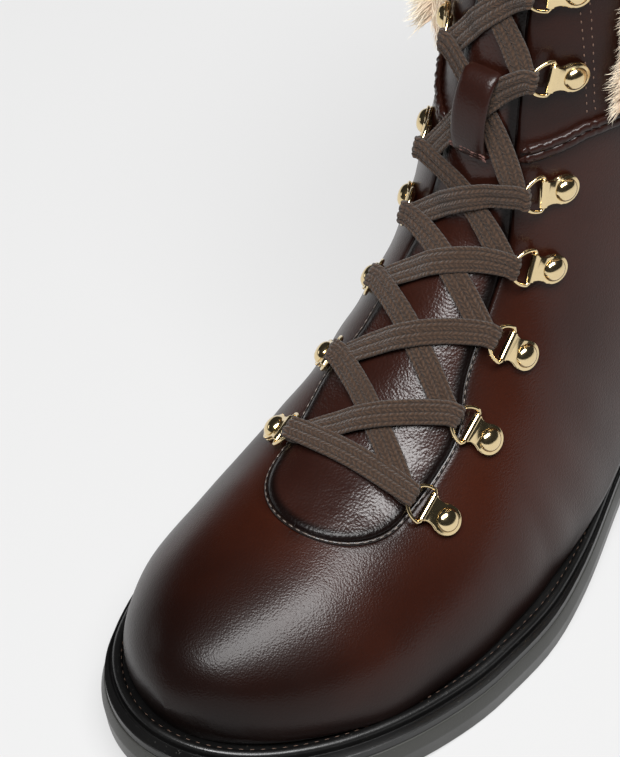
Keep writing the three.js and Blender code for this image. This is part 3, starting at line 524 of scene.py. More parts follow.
DEEP, MIDDLE, WARM = (0.0022, 0.0008, 0.0006), (0.016, 0.0034, 0.0016), (0.043, 0.0092, 0.0038)
vamp_leather = leather("polished leather", DEEP, MIDDLE, WARM, 2100.0, 0.055, 0.34, 0.32)
plug_leather = leather(
    "tumbled leather", DEEP, (0.018, 0.0055, 0.0038), (0.031, 0.0083, 0.0048), 1650.0, 0.085, 0.32,
    0.46, 170.0, 0.9
)
strap_leather = leather(
    "strap leather", DEEP, (0.017, 0.0046, 0.003), (0.027, 0.0072, 0.004), 1700.0, 0.05, 0.36, 0.3
)
print("leathers:", vamp_leather.name, plug_leather.name, strap_leather.name)


# %% [markdown]
# ### Rubber, metal and thread
# The sole is satin black rubber with faint scuffs and dust. The hardware is thin plated steel of a pale gold
# colour: a metal needs little more than its colour and a low roughness that changes a little. Thread is rough.


# %% Rubber with dust and scuffs
def rubber(name, color, roughness, dust):
    material, tree, shader = new_material(name)
    where = object_place(tree)
    speck = add_node(
        tree, "ShaderNodeTexNoise", {"Vector": where, "Scale": 1400.0, "Detail": 3.0, "Roughness": 0.7}
    )
    cloud = add_node(tree, "ShaderNodeTexNoise", {"Vector": where, "Scale": 60.0, "Detail": 5.0})
    specks = math_node(tree, "MULTIPLY_ADD", speck.outputs["Fac"], 14.0, -9.3, clamp=True)
    specks = math_node(tree, "MULTIPLY", specks, math_node(tree, "MULTIPLY", cloud.outputs["Fac"], dust))
    tree.links.new(mix_color(tree, specks, color, (0.22, 0.21, 0.19)), shader.inputs["Base Color"])
    rough = math_node(tree, "MULTIPLY_ADD", cloud.outputs["Fac"], 0.3, roughness - 0.15)
    tree.links.new(rough, shader.inputs["Roughness"])
    add_bump(tree, shader, speck.outputs["Fac"], 0.35, 0.00012)
    return material


wall_rubber = rubber("side wall rubber", (0.034, 0.034, 0.031), 0.42, 0.25)
strip_rubber = rubber("welt rubber", (0.0035, 0.0034, 0.0034), 0.34, 0.7)
tread_rubber = rubber("tread rubber", (0.008, 0.008, 0.008), 0.55, 0.5)


# %% Pale gold plate and threads
def plated(name, color, roughness):
    material, tree, shader = new_material(name)
    where = object_place(tree)
    wear = add_node(tree, "ShaderNodeTexNoise", {"Vector": where, "Scale": 900.0, "Detail": 3.0})
    tree.links.new(
        mix_color(tree, wear.outputs["Fac"], color, tuple(c * 0.9 for c in color)),
        shader.inputs["Base Color"]
    )
    tree.links.new(
        math_node(tree, "MULTIPLY_ADD", wear.outputs["Fac"], 0.12, roughness - 0.05),
        shader.inputs["Roughness"]
    )
    add_bump(tree, shader, wear.outputs["Fac"], 0.05, 0.0001)
    shader.inputs["Metallic"].default_value = 1
    return material


def thread(name, color, roughness=0.6):
    material, tree, shader = new_material(name)
    where = object_place(tree)
    twist = add_node(tree, "ShaderNodeTexNoise", {"Vector": where, "Scale": 2500.0, "Detail": 1.0})
    tree.links.new(
        mix_color(tree, twist.outputs["Fac"], color, tuple(c * 0.45 for c in color)),
        shader.inputs["Base Color"]
    )
    shader.inputs["Roughness"].default_value = roughness
    return material


gold = plated("pale gold plate", (0.83, 0.66, 0.38), 0.13)
dark_thread = thread("dark waxed thread", (0.02, 0.012, 0.009), 0.35)
waxed_thread = thread("waxed thread", (0.16, 0.13, 0.11), 0.3)
dark_cord = thread("black piping", (0.008, 0.004, 0.003), 0.28)
pale_thread = thread("worn pale thread", (0.17, 0.1, 0.07))
red_thread = thread("red brown thread", (0.17, 0.075, 0.06))
print("plate and threads ready")

# %% [markdown]
# ### Woven lace and pile
# The lace is a flat braid. Its UV map runs across (U) and along (V, in millimetres), so a few waves make the
# slanting stitches of its ribs. The pile is soft wool, cream at the tip and tan towards the root; the tan is
# partly the wool's tone and partly painted shade deep in the pile.

# %% Woven lace
woven, tree, shader = new_material("woven lace")
uv = add_node(tree, "ShaderNodeSeparateXYZ", {0: tree.nodes.new("ShaderNodeUVMap").outputs[0]})
ribs = math_node(tree, "MULTIPLY", uv.outputs["X"], 6.0)
slant = math_node(
    tree, "ABSOLUTE",
    math_node(tree, "SUBTRACT", math_node(tree, "FRACT", math_node(tree, "MULTIPLY", ribs, 0.5)), 0.5)
)
where = object_place(tree)
tangle = add_node(tree, "ShaderNodeTexNoise", {"Vector": where, "Scale": 700.0, "Detail": 2.0})
chevron = math_node(tree, "MULTIPLY_ADD", slant, 1.5, math_node(tree, "MULTIPLY", uv.outputs["Y"], 0.8))
chevron = math_node(tree, "MULTIPLY_ADD", tangle.outputs["Fac"], 1.6, chevron)
stitch = math_node(tree, "SINE", math_node(tree, "MULTIPLY", chevron, 2 * math.pi))
stitch = math_node(tree, "MULTIPLY_ADD", stitch, 0.3, 0.7)
valley = math_node(tree, "ABSOLUTE", math_node(tree, "SINE", math_node(tree, "MULTIPLY", ribs, math.pi)))
knit = math_node(tree, "MULTIPLY", stitch, math_node(tree, "POWER", valley, 0.4))
fuzz = add_node(
    tree, "ShaderNodeTexNoise", {"Vector": where, "Scale": 2300.0, "Detail": 4.0, "Roughness": 0.75}
)
patch = add_node(tree, "ShaderNodeTexNoise", {"Vector": where, "Scale": 120.0, "Detail": 3.0})
lit = math_node(tree, "MULTIPLY", knit, math_node(tree, "MULTIPLY_ADD", fuzz.outputs["Fac"], 1.2, 0.2))
color = mix_color(
    tree, math_node(tree, "MULTIPLY", lit, 1.0, clamp=True), (0.006, 0.0032, 0.0018),
    (0.085, 0.046, 0.026)
)
color = mix_color(
    tree, math_node(tree, "MULTIPLY_ADD", patch.outputs["Fac"], 1.4, -0.5, clamp=True), color,
    (0.038, 0.02, 0.011)
)
tree.links.new(color, shader.inputs["Base Color"])
height = math_node(tree, "MULTIPLY_ADD", fuzz.outputs["Fac"], 1.1, knit)
add_bump(tree, shader, height, 0.9, 0.0004)
shader.inputs["Roughness"].default_value = 0.85
shader.inputs["Sheen Weight"].default_value = 0.12
shader.inputs["Specular IOR Level"].default_value = 0.25
print("lace material ready")


# %% Pile, lining and footbed
def pile(name, root, tip):
    material, tree, shader = new_material(name)
    reach = add_node(tree, "ShaderNodeAttribute", attribute_name="reach").outputs["Fac"]
    where = object_place(tree)
    clump = add_node(tree, "ShaderNodeTexNoise", {"Vector": where, "Scale": 130.0, "Detail": 3.0})
    fine = add_node(tree, "ShaderNodeTexNoise", {"Vector": where, "Scale": 1200.0, "Detail": 2.0})
    # Tan towards the root: partly the wool's tone, partly painted shade deep in the pile
    share = math_node(
        tree, "MULTIPLY_ADD", clump.outputs["Fac"], 0.8,
        math_node(tree, "MULTIPLY_ADD", reach, 0.9, -0.2), clamp=True
    )
    tree.links.new(mix_color(tree, share, root, tip), shader.inputs["Base Color"])
    add_bump(tree, shader, fine.outputs["Fac"], 0.6, 0.0008)
    shader.inputs["Roughness"].default_value = 0.8
    shader.inputs["Sheen Weight"].default_value = 0.3
    return material


cream_pile = pile("cream pile", (0.66, 0.45, 0.29), (0.96, 0.87, 0.7))
lining_pile = pile("lining pile", (0.5, 0.36, 0.22), (0.62, 0.47, 0.31))
print("pile ready")

# %% [markdown]
# ## Outsole, heel and welt
# A rubber unit sole is moulded, so its side is a stack of outlines at set heights: a small bevel at the tread,
# a lower facet that leans out, an upper facet that leans in, and a top. Each outline is the same rule with
# another margin, and many places along it make it smooth.


# %% Rings round the sole
def shares(count):
    """Places along the sole, closer together at its round ends."""
    t = np.linspace(0, 1, count)
    return t - 0.96 * np.sin(2 * math.pi * t) / (2 * math.pi)


def sole_ring(margin, height, front=None, count=110):
    whole = SOLE_LENGTH - margin[0] - margin[2]
    reach = 1 if front is None else (front - margin[2]) / whole
    t = shares(count) if front is None else 1 - np.cos(np.linspace(0, math.pi / 2, count))
    x = margin[2] + whole * reach * t
    half, middle = outline(x, margin)
    z = height(x)
    outer = np.stack([x, middle + half, z], -1)
    inner = np.stack([x, middle - half, z], -1)[::-1]
    return np.concatenate([outer, inner])


def capped_stack(name, rings):
    """Mesh of stacked rings with flat ends, each end closed by strips from side to side."""
    rows, columns = len(rings), len(rings[0])
    faces = grid_faces(rows, columns, round_columns=True)
    for first in (0, (rows - 1) * columns):
        for j in range(columns // 2 - 1):
            quad = (first + j, first + j + 1, first + columns - 2 - j, first + columns - 1 - j)
            faces.append(quad if first else quad[::-1])
    mesh = make_mesh(name, np.array(rings), faces)
    tidy(mesh)
    return mesh


def set_sharp(mesh, angle):
    mesh.set_sharp_from_angle(angle=math.radians(angle))


# %% Outsole with its two wall facets and the stitched channel under it
over = lambda z: (lambda x: underside(x) + z)
WALL = [
    (1.5, 0), (0.9, 0.12), (0.55, 0.5), (0.08, 5.0), (0.02, 5.4), (0.12, 5.75), (0.75, 8.55),
    (0.95, 8.85), (1.3, 9.0)
]
CHANNEL_IN = 11.5
tread = [(CHANNEL_IN + 1.0, 0.0), (CHANNEL_IN + 0.6, 0.45), (CHANNEL_IN, 0.45), (CHANNEL_IN - 0.4, 0.0)]
rings = [sole_ring(grown(EDGE, inset), over(z)) for inset, z in tread + WALL]
rings += [
    sole_ring(grown(MARGIN, 3.5), over(OUTSOLE_THICKNESS)), sole_ring(grown(MARGIN, 3.5), over(FEATHER))
]
sole_mesh = capped_stack("sole", rings)
set_sharp(sole_mesh, 28)
outsole = add_object("sole_unit", sole_mesh, wall_rubber, tread_rubber)
for face in sole_mesh.polygons:
    face.material_index = 1 if face.normal.z < -0.8 else 0
finish_piece(outsole, "rubber", "outsole")

# %% Heel block with its moulded grooves
HEEL_RIBS, RIB_DEPTH, RIB_GAP = 5, 0.8, 0.7
top = HEEL_LIFT - CLEARANCE
levels = [(1.6, 0.0), (1.0, 0.25)]
for rib in range(1, HEEL_RIBS):
    z = rib * top / HEEL_RIBS
    levels += [
        (0.9, z - RIB_GAP / 2), (0.9 + RIB_DEPTH, z - RIB_GAP / 4), (0.9 + RIB_DEPTH, z + RIB_GAP / 4),
        (0.9, z + RIB_GAP / 2)
    ]
levels += [(0.9, top - 0.1), (1.1, top)]
rings = [
    sole_ring(
        grown(EDGE, inset), lambda x, z=z: np.full_like(x, z),
        HEEL_LENGTH - BREAST_SLANT * (1 - z / top), 60
    )
    for inset, z in levels
]
heel_mesh = capped_stack("heel", rings)
set_sharp(heel_mesh, 28)
finish_piece(add_object("heel_block", heel_mesh, wall_rubber), "rubber", "heel")

# %% Welt: a flat strip, a groove and a rounded bead beside the leather
BEAD_STAND, BEAD_WIDTH, BEAD_HEIGHT, WELT_DIP = 1.9, 2.6, 1.4, 0.4


def bead_margin(share):
    away = BEAD_STAND + share * BEAD_WIDTH
    return (TOE_MARGIN - away, SIDE_MARGIN - away, BACK_MARGIN - 0.55 * away, INWARD_SHIFT)


seat = OUTSOLE_THICKNESS + CLEARANCE
strip_edge = grown(EDGE, 1.15)
profile = [
    (grown(MARGIN, 3.2), seat), (strip_edge, seat), (strip_edge, FEATHER - 0.6),
    (grown(strip_edge, 0.25), FEATHER - WELT_DIP),
    (bead_margin(1.3), FEATHER - WELT_DIP), (bead_margin(1.12), FEATHER - 1.1),
    (bead_margin(1.02), FEATHER - 1.05),
]
for turn in np.linspace(0.08, 0.86, 9) * math.pi:
    lift = BEAD_HEIGHT * math.sin(turn) ** 0.8
    profile.append((bead_margin(0.5 + 0.48 * math.cos(turn)), FEATHER - 0.2 + lift * 1.1))
profile += [(bead_margin(0), FEATHER - 0.2), (grown(MARGIN, 3.2), FEATHER)]
rings = np.array([sole_ring(margin, over(z)) for margin, z in profile])
welt_mesh = make_mesh("welt", rings, grid_faces(len(rings), rings.shape[1], True, True))
tidy(welt_mesh)
set_sharp(welt_mesh, 40)
finish_piece(add_object("welt_and_bead", welt_mesh, strip_rubber), "rubber", "welt")

# %% Line where the bead meets the leather, for the stitches below
bead_line = sole_ring(bead_margin(0.1), over(FEATHER + 0.95))

# %% Footbed
inner = grown(MARGIN, LEATHER + CLEARANCE + 2.2)
rings = [
    sole_ring(grown(inner, more), over(FEATHER + z)) for more,
    z in ((0, 0.35), (0, 3.2), (0.4, 3.8), (1.1, 4.0))
]
bed_mesh = capped_stack("footbed", rings)
set_sharp(bed_mesh, 35)
finish_piece(add_object("footbed", bed_mesh, lining_pile), "footbed", "insole")

# %% [markdown]
# ## The upper
# One sheet of leather runs from the toe to the collar. Its grid starts at the ridge in front of the throat and
# at the throat's edge behind it, so the opening is cut exactly by the grid itself. The small reliefs are added
# along the surface's normal: a rounded cut edge, the step down above the ankle seam, the heel counter, and the
# soft creases that a worn or lasted boot has. Solidify then gives the wall its real thickness.


# %% Rows and columns of the upper's grid
def upper_rows():
    front = THROAT_START + THROAT_ROUND
    toe = row_at(np.linspace(0, THROAT_START, 52))
    curve = row_at(THROAT_START + THROAT_ROUND * (1 - np.cos(np.linspace(0, math.pi / 2, 18)[1:])))
    rest = row_at(np.linspace(front, RIDGE_LENGTH, 112)[1:])
    return np.concatenate([toe, curve, rest])


rows_v = upper_rows()
rows_s = distance_at(rows_v)
opening = np.where(rows_s > THROAT_START, throat_half(rows_s), 0)
opening[rows_s <= THROAT_START + 1e-6] = 0
start_u = around_at(rows_v, opening)
COLUMNS = 92
steps = np.linspace(0, 1, COLUMNS)
steps = 0.75 * steps + 0.25 * steps**2.6
print("upper grid", len(rows_v), "by", 2 * COLUMNS)


# %% Relief of the leather, in millimetres along the normal
def wave(seed, points, size):
    """Smooth repeatable noise: a few sine waves whose directions come from a fixed seed."""
    draw = np.random.default_rng(seed)
    total = 0
    for _ in range(9):
        direction = draw.normal(size=3)
        direction /= np.linalg.norm(direction) * size * draw.uniform(0.7, 1.5) / (2 * math.pi)
        total = total + np.sin(points @ direction + draw.uniform(0, 2 * math.pi))
    return total / 9


def seam_height(x):
    """Height of the ankle seam, level round the back and coming down towards the throat."""
    return SEAM_HEIGHT - SEAM_SLOPE * np.maximum(x - FACING_END, 0)


def counter_line(z):
    """Front edge of the heel counter, as x for a height."""
    return np.interp(z, [FEATHER, COUNTER_HEIGHT, COUNTER_HEIGHT + 24, COUNTER_HEIGHT + 36],
                     [COUNTER_LENGTH + 14, COUNTER_LENGTH * 0.72, COUNTER_LENGTH * 0.4, -60])


# Creases: distance along the ridge, share round the side where it fades, depth and width in mm
CREASES = [
    (93, 0.62, 0.35, 5.0), (104, 0.7, 0.5, 5.5), (117, 0.66, 0.4, 5.0), (133, 0.6, 0.45, 6.0),
    (146, 0.55, 0.4, 5.0)
]


def relief(points, v, u, edge_distance):
    s = distance_at(v)
    height = np.zeros(points.shape[:-1])
    step = smooth(points[..., 2] - seam_height(points[..., 0]), -0.5, 0.5)
    height -= SEAM_STEP * step
    behind = smooth(counter_line(points[..., 2]) - points[..., 0], -0.7, 0.7)
    height += COUNTER_STEP * behind * smooth(points[..., 2] - HEEL_LIFT - FEATHER, 1, 6)
    for place, reach, depth, width in CREASES:
        drift = 5 * np.sin(3 * np.abs(u) * math.pi + place)
        across = (s - place - 26 * np.abs(u) ** 1.5 - drift * 0.4) / width
        fade = smooth(np.abs(u), 0.12, 0.3) * (1 - smooth(np.abs(u), reach - 0.25, reach))
        height -= depth * np.exp(-across**2) * fade
        height += 0.5 * depth * np.exp(-((across - 1.6) ** 2)) * fade
    height += 0.22 * wave(3, points, 34.0) + 0.1 * wave(5, points, 15.0)
    radius = 0.5
    into = np.clip((radius - edge_distance) / radius, 0, 1)
    return height - radius * (1 - np.sqrt(1 - into**2)) * 0.9


# %% The sheet itself
sides = []
for side in (1, -1):
    u = side * (start_u[:, None] + (1 - start_u[:, None]) * steps[None, :])
    v = np.repeat(rows_v[:, None], COLUMNS, 1)
    sides.append((v, u))
v_grid = np.concatenate([sides[1][0][:, ::-1], sides[0][0]], 1)
u_grid = np.concatenate([sides[1][1][:, ::-1], sides[0][1]], 1)
points = skin_point(v_grid, u_grid)
ridge_y = (section("ridgeY", v_grid) * BALL_WIDTH)
past_throat = np.where(opening[:, None] > 0, np.abs(points[..., 1] - ridge_y) - opening[:, None], 99)
front_gap = np.where(
    rows_s[:, None] < THROAT_START, np.hypot(THROAT_START - rows_s[:, None], points[..., 1] - ridge_y),
    99
)
edge_distance = np.minimum(np.maximum(past_throat, 0), front_gap)
lift = relief(points, v_grid, u_grid, edge_distance)
sheet_points = points + skin_normal(v_grid, u_grid) * lift[..., None]
print("sheet", sheet_points.shape)


# %% Burnish and painted shade: darker near the sole, at the toe, under the seams, at the throat and on the inner side
SOLE_DARK, TOE_DARK, SEAM_DARK, EDGE_DARK = 13.0, (214, 262), 3.5, 2.2
INNER_DARK_SIDE, INNER_DARK_FRONT = (20, 36), (120, 190)
PAINTED_LIGHT_PATCHES = [(1, 176, 26, 30, 14), (0.9, 205, 17, -12, 17)]  # strength, x and its reach, y and its reach
above = points[..., 2] - FEATHER - underside(np.clip(points[..., 0], 0, SOLE_LENGTH))
# Darker near the sole and at the toe: partly burnish, partly painted shade
burnish_and_shade = 0.9 * np.exp(-((np.maximum(above, 0) / SOLE_DARK) ** 1.5))
burnish_and_shade = np.maximum(burnish_and_shade, 0.85 * smooth(points[..., 0], *TOE_DARK))
from_seam = points[..., 2] - seam_height(points[..., 0])
# Painted shadow in a band just under the rolled ankle edge
burnish_and_shade = np.maximum(burnish_and_shade, 0.75 * np.exp(-(((from_seam + 3) / SEAM_DARK) ** 2)))
# Darker along the throat's edge: partly edge dye, partly painted shade
burnish_and_shade = np.maximum(burnish_and_shade, 0.7 * np.exp(-edge_distance / EDGE_DARK))
# Painted shade on the inner side of the forefoot, away from the light
inward = ridge_y - points[..., 1]
inner_front = smooth(inward, *INNER_DARK_SIDE) * smooth(points[..., 0], *INNER_DARK_FRONT)
burnish_and_shade = np.maximum(burnish_and_shade, 0.6 * inner_front)
# Painted light: lighter, warmer patches on the lit side of the upper, broken by a slow wave
warmth_and_painted_light = np.zeros(burnish_and_shade.shape)
for strength, x, x_reach, y, y_reach in PAINTED_LIGHT_PATCHES:
    away = ((points[..., 0] - x) / x_reach) ** 2 + ((points[..., 1] - y) / y_reach) ** 2
    warmth_and_painted_light = np.maximum(warmth_and_painted_light, strength * np.exp(-away))
burnish_and_shade = np.maximum(burnish_and_shade, 0.4 * smooth(from_seam, 0, 4))
warmth_and_painted_light = np.clip(warmth_and_painted_light + 0.15 * wave(11, points, 30.0), 0, 1)
burnish_and_shade = np.clip(burnish_and_shade + 0.1 * wave(12, points, 24.0), 0, 1)

# %% Faces: both halves meet at the ridge in front of the throat and stay apart behind it
rows, columns = v_grid.shape
faces = []
for i in range(rows - 1):
    for j in range(columns - 1):
        if j == COLUMNS - 1 and opening[i + 1] > 0:
            continue
        a, b = i * columns + j, (i + 1) * columns + j
        faces.append((a, a + 1, b + 1, b))
upper_mesh = make_mesh("upper", sheet_points, faces, {"burnish_and_shade": burnish_and_shade, "warmth_and_painted_light": warmth_and_painted_light})
tidy(upper_mesh, 2e-5, False)
upper = add_object("upper_leather", upper_mesh, vamp_leather, lining_pile)
wall = upper.modifiers.new("wall", "SOLIDIFY")
wall.thickness, wall.offset, wall.use_even_offset = LEATHER / 1000, -1, False
wall.material_offset = 1
wall.material_offset_rim = 0
apply_modifiers(upper)
finish_piece(upper, "leather", "upper")

# %% [markdown]
# ## Tongue and its padded plug
# The tongue lies in the throat. Its front end is a padded plug of softer, tumbled leather that swells a little
# over the vamp and turns down sharply at its edge. The same surface rule gives its place, and the distance to
# the throat's outline gives the turned edge.

# %% Distance to the throat's outline, in the plane of the ridge
outline_s = np.concatenate([
    THROAT_START + THROAT_ROUND * (1 - np.cos(np.linspace(0, math.pi / 2, 60))),
    np.linspace(THROAT_START + THROAT_ROUND, RIDGE_LENGTH + 12, 160)[1:]
])
outline_y = throat_half(outline_s)


def to_outline(s, y):
    gaps = np.hypot(s[..., None] - outline_s, np.abs(y)[..., None] - outline_y)
    return gaps.min(-1)


def tongue_lift(v):
    return PLUG_PUFF - TONGUE_DIP * smooth(v, THROAT_ROW + 2, THROAT_ROW + 5)


# %% The tongue's face
INSET = 0.35
front = THROAT_START + INSET
s_rows = np.concatenate([
    front + THROAT_ROUND * (1 - np.cos(np.linspace(0, math.pi / 2, 26))),
    np.linspace(front + THROAT_ROUND, RIDGE_LENGTH + TONGUE_RISE, 120)[1:]
])
into = np.clip((front + THROAT_ROUND - s_rows) / THROAT_ROUND, 0, 1)
at = np.clip((s_rows - THROAT_START) / (RIDGE_LENGTH - THROAT_START), 0, 1)
half = (along(THROAT_AT, THROAT_HALF, at) * BALL_WIDTH - INSET) * np.sqrt(1 - into**2)
across = np.sin(np.linspace(-1, 1, 61) * math.pi / 2) * 0.35 + np.linspace(-1, 1, 61) * 0.65
y = half[:, None] * across[None, :]
s = np.repeat(s_rows[:, None], y.shape[1], 1)
v = row_at(np.minimum(s, RIDGE_LENGTH))
u = np.sign(y) * around_at(v, np.abs(y))
inside = to_outline(s, y)
turned = np.clip(inside / 1.9, 0, 1)
height = -0.7 + (tongue_lift(v) + 0.7) * np.sqrt(1 - (1 - turned) ** 2)
plug = 1 - smooth(s, THROAT_START + 44, THROAT_START + 60)
flat_points = skin_point(v, u)
height += plug * (0.3 * wave(21, flat_points, 13.0) + 0.07 * wave(22, flat_points, 5.0)) * turned
height += (1 - plug) * 0.25 * wave(23, flat_points, 14.0)
face_points = skin(v, u, height)
over_top = np.maximum(s - RIDGE_LENGTH, 0)
face_points = face_points + np.stack([-0.1 * over_top, 0 * over_top, over_top], -1)
shade = np.clip(0.95 * (1 - smooth(inside, 1.6, 3.6)) + 0.05 * (1 - plug), 0, 1)
tongue_mesh = make_mesh(
    "tongue", face_points, grid_faces(*y.shape, turned=True),
    {"burnish_and_shade": shade, "warmth_and_painted_light": 0.9 * (1 - plug)}
)
tidy(tongue_mesh, 2e-5, False)
tongue = add_object("tongue_face", tongue_mesh, plug_leather)
wall = tongue.modifiers.new("wall", "SOLIDIFY")
wall.thickness, wall.offset = 0.0018, -1
apply_modifiers(tongue)

# %% The tongue's backing under the facings, a piece apart from the face
BACKING_WIDTH = 7.0
s_rows = np.linspace(THROAT_START - BACKING_WIDTH * 0.8, RIDGE_LENGTH + TONGUE_RISE - 0.5, 70)
y = throat_half(s_rows, BACKING_WIDTH)[:, None] * np.linspace(-1, 1, 31)[None, :]
s = np.repeat(s_rows[:, None], y.shape[1], 1)
v = row_at(np.minimum(s, RIDGE_LENGTH))
u = np.sign(y) * around_at(v, np.abs(y))
over_top = np.maximum(s - RIDGE_LENGTH, 0)
back_points = (
    skin(v, u, np.full(s.shape, -LEATHER - 0.5))
    + np.stack([-0.1 * over_top, 0 * over_top, over_top], -1)
)
backing_mesh = make_mesh(
    "backing", back_points, grid_faces(*y.shape, turned=True), {"burnish_and_shade": np.full(s.shape, 0.4)}
)
backing = add_object("tongue_backing", backing_mesh, strap_leather, lining_pile)
wall = backing.modifiers.new("wall", "SOLIDIFY")
wall.thickness, wall.offset, wall.material_offset = 0.0022, -1, 1
apply_modifiers(backing)
finish_piece(tongue, "plug", "tongue")
finish_piece(backing, "plug")

# %% [markdown]
# ## Clips and D-rings
# Fourteen clips are folded from one sheet round the ring's bar and riveted through both layers. One clip and
# one ring are modelled in their own small frame: X along the clip, Y along the bar and Z off the leather. They
# are then set on the skin by the same frame that the CAD uses.

# %% Frame of a clip on the leather
CLIP_LENGTH, CLIP_WIDTH, BAR_HEIGHT = 9.4, 7.2, 2.5
RING_BAR, RING_DEPTH, RING_LEAN, WIRE = 9.2, 6, 0.25, 0.5
BAR_PLACE = -0.42 * CLIP_LENGTH


def clip_frame(pair, side):
    row, place, sink, turn = pair[0], side * pair[1], pair[2] if side > 0 else pair[3], math.radians(pair[4])
    normal = skin_normal(row, place)
    out = skin_point(row, place + side * 0.02) - skin_point(row, place - side * 0.02)
    out = unit(out - normal * out.dot(normal))
    climb = np.cross(normal, out) * side
    out, climb = out * math.cos(turn) + climb * math.sin(turn), climb * math.cos(turn) - out * math.sin(turn)
    sunk = LEATHER * sink + (SEAM_STEP if row > 13.5 else 0)
    return {"origin": skin_point(row, place) - normal * sunk, "out": out, "climb": climb, "normal": normal}


def put(points, f, side):
    """Local points (along the clip, along the bar, off the leather) in the boot's frame."""
    points = np.asarray(points, float)
    axes = np.stack([f["out"], f["climb"] * side, f["normal"]])
    return f["origin"] + points @ axes


frames = [[clip_frame(pair, side) for side in (1, -1)] for pair in RING_PAIRS]
print("first ring at", np.round(frames[0][0]["origin"] - ORIGIN, 1))


# %% One clip: two layers of sheet with a waist, the fold round the bar and a domed rivet
def plate_outline(grow=0.0):
    """Half outline of the plate: x from the bar to the round end, with the half width there."""
    end = CLIP_LENGTH + BAR_PLACE
    radius = 3.7 + grow
    centre = end - 3.55
    x1 = np.linspace(BAR_PLACE, centre - 0.6, 9)
    t = (x1 - BAR_PLACE) / (centre - 0.6 - BAR_PLACE)
    w1 = CLIP_WIDTH / 2 - 0.75 * np.sin(math.pi * np.clip(t * 1.15, 0, 1)) * (1 - 0.2 * t) + grow
    turn = np.linspace(math.pi / 2 + 0.17, 0, 14)
    x2, w2 = centre + radius * np.cos(turn), radius * np.sin(turn)
    return np.concatenate([x1, x2]), np.concatenate([w1, w2])


PLATE_SLOPE = 0.17


def tilted(points):
    """The riveted end is pulled down, so the plate slopes up to the fold."""
    points = points.copy()
    points[..., 2] += PLATE_SLOPE * (CLIP_LENGTH + BAR_PLACE - 1 - points[..., 0])
    points[..., 0] += PLATE_SLOPE * (points[..., 2] - 2.5) * 0.5
    return points


def clip_parts():
    """Lists of closed grids (points, rows round, columns round) that make the clip."""
    parts = []
    sheet = 0.72
    for bottom in (0.3, 0.3 + sheet + 0.12):
        levels = [(-0.18, bottom), (0, bottom + 0.14), (0, bottom + sheet - 0.14), (-0.18, bottom + sheet)]
        rings = []
        for grow, z in levels:
            x, w = plate_outline(grow)
            ring = np.concatenate([np.stack([x, w, 0 * x + z], -1), np.stack([x, -w, 0 * x + z], -1)[::-1]])
            rings.append(ring)
        parts.append(("stack", tilted(np.array(rings))))
    fold_radius = WIRE + 0.6
    turns = full_turn(20)
    rings = []
    for y, r in (
        (-CLIP_WIDTH / 2, fold_radius - 0.18), (-CLIP_WIDTH / 2 + 0.15, fold_radius),
        (CLIP_WIDTH / 2 - 0.15, fold_radius), (CLIP_WIDTH / 2, fold_radius - 0.18)
    ):
        rings.append(np.stack(
            [BAR_PLACE + r * np.cos(turns), 0 * turns + y, BAR_HEIGHT - 0.25 + r * np.sin(turns)], -1
        ))
    parts.append(("stack", np.array(rings)))
    centre = CLIP_LENGTH + BAR_PLACE - 3.55
    turns = full_turn(28)
    rings = []
    for r, z in (
        (2.3, 1.6), (2.95, 1.8), (3.0, 1.95), (2.93, 2.1), (2.7, 2.5), (2.25, 2.95), (1.6, 3.32),
        (0.8, 3.52), (0.05, 3.57)
    ):
        rings.append(np.stack([centre + r * np.cos(turns), r * np.sin(turns), 0 * turns + z], -1))
    parts.append(("stack", tilted(np.array(rings))))
    return parts


# %% One D-ring: a round wire swept along a straight bar and a bow
def ring_path():
    half = RING_BAR / 2
    turn = np.linspace(0, math.pi, 41)[1:-1]
    bow = np.stack([half * np.cos(turn), RING_DEPTH * np.sin(turn) ** 0.86], -1)
    bar = np.stack([np.linspace(-half * 0.86, half * 0.86, 9), np.zeros(9)], -1)
    flat = np.concatenate([bar, bow])
    lean = np.array([-math.cos(RING_LEAN), 0, math.sin(RING_LEAN)])
    start = np.array([BAR_PLACE, 0, BAR_HEIGHT - 0.25])
    path = start + flat[:, :1] * np.array([0, 1, 0]) + flat[:, 1:] * lean
    return path, unit(np.cross(lean, [0, 1, 0]))


def wire_rings(path, plane, radius, sides=12):
    ahead = unit(np.roll(path, -1, 0) - np.roll(path, 1, 0))
    away = np.cross(ahead, plane)
    turn = full_turn(sides)
    return (
        path[:, None]
        + radius * (away[:, None] * np.cos(turn)[None, :, None] + plane * np.sin(turn)[None, :, None])
    )


# %% Set every clip and ring on the leather
def joined(name, grids, material):
    """One mesh from several grids, each a closed tube or a stack of rings with capped ends."""
    points, faces, count = [], [], 0
    for kind, grid in grids:
        rows, columns = grid.shape[:2]
        faces += grid_faces(rows, columns, kind == "loop", True, count)
        if kind == "stack":
            faces.append(tuple(count + j for j in range(columns))[::-1])
            faces.append(tuple(count + (rows - 1) * columns + j for j in range(columns)))
        points.append(grid.reshape(-1, 3))
        count += rows * columns
    mesh = make_mesh(name, np.concatenate(points), faces)
    tidy(mesh, 1e-6)
    set_sharp(mesh, 38)
    return add_object(name, mesh, material)


path, plane = ring_path()
for i, pair in enumerate(RING_PAIRS):
    for side, name, f in ((1, "outer", frames[i][0]), (-1, "inner", frames[i][1])):
        clip = joined(
            f"clip_{name}_{i + 1}_plate", [(kind, put(g, f, side)) for kind, g in clip_parts()], gold
        )
        finish_piece(clip, "brass", f"clip_{name}_{i + 1}")
        ring = joined(
            f"ring_{name}_{i + 1}_wire", [("loop", put(wire_rings(path, plane, WIRE), f, side))], gold
        )
        finish_piece(ring, "brass", f"ring_{name}_{i + 1}")

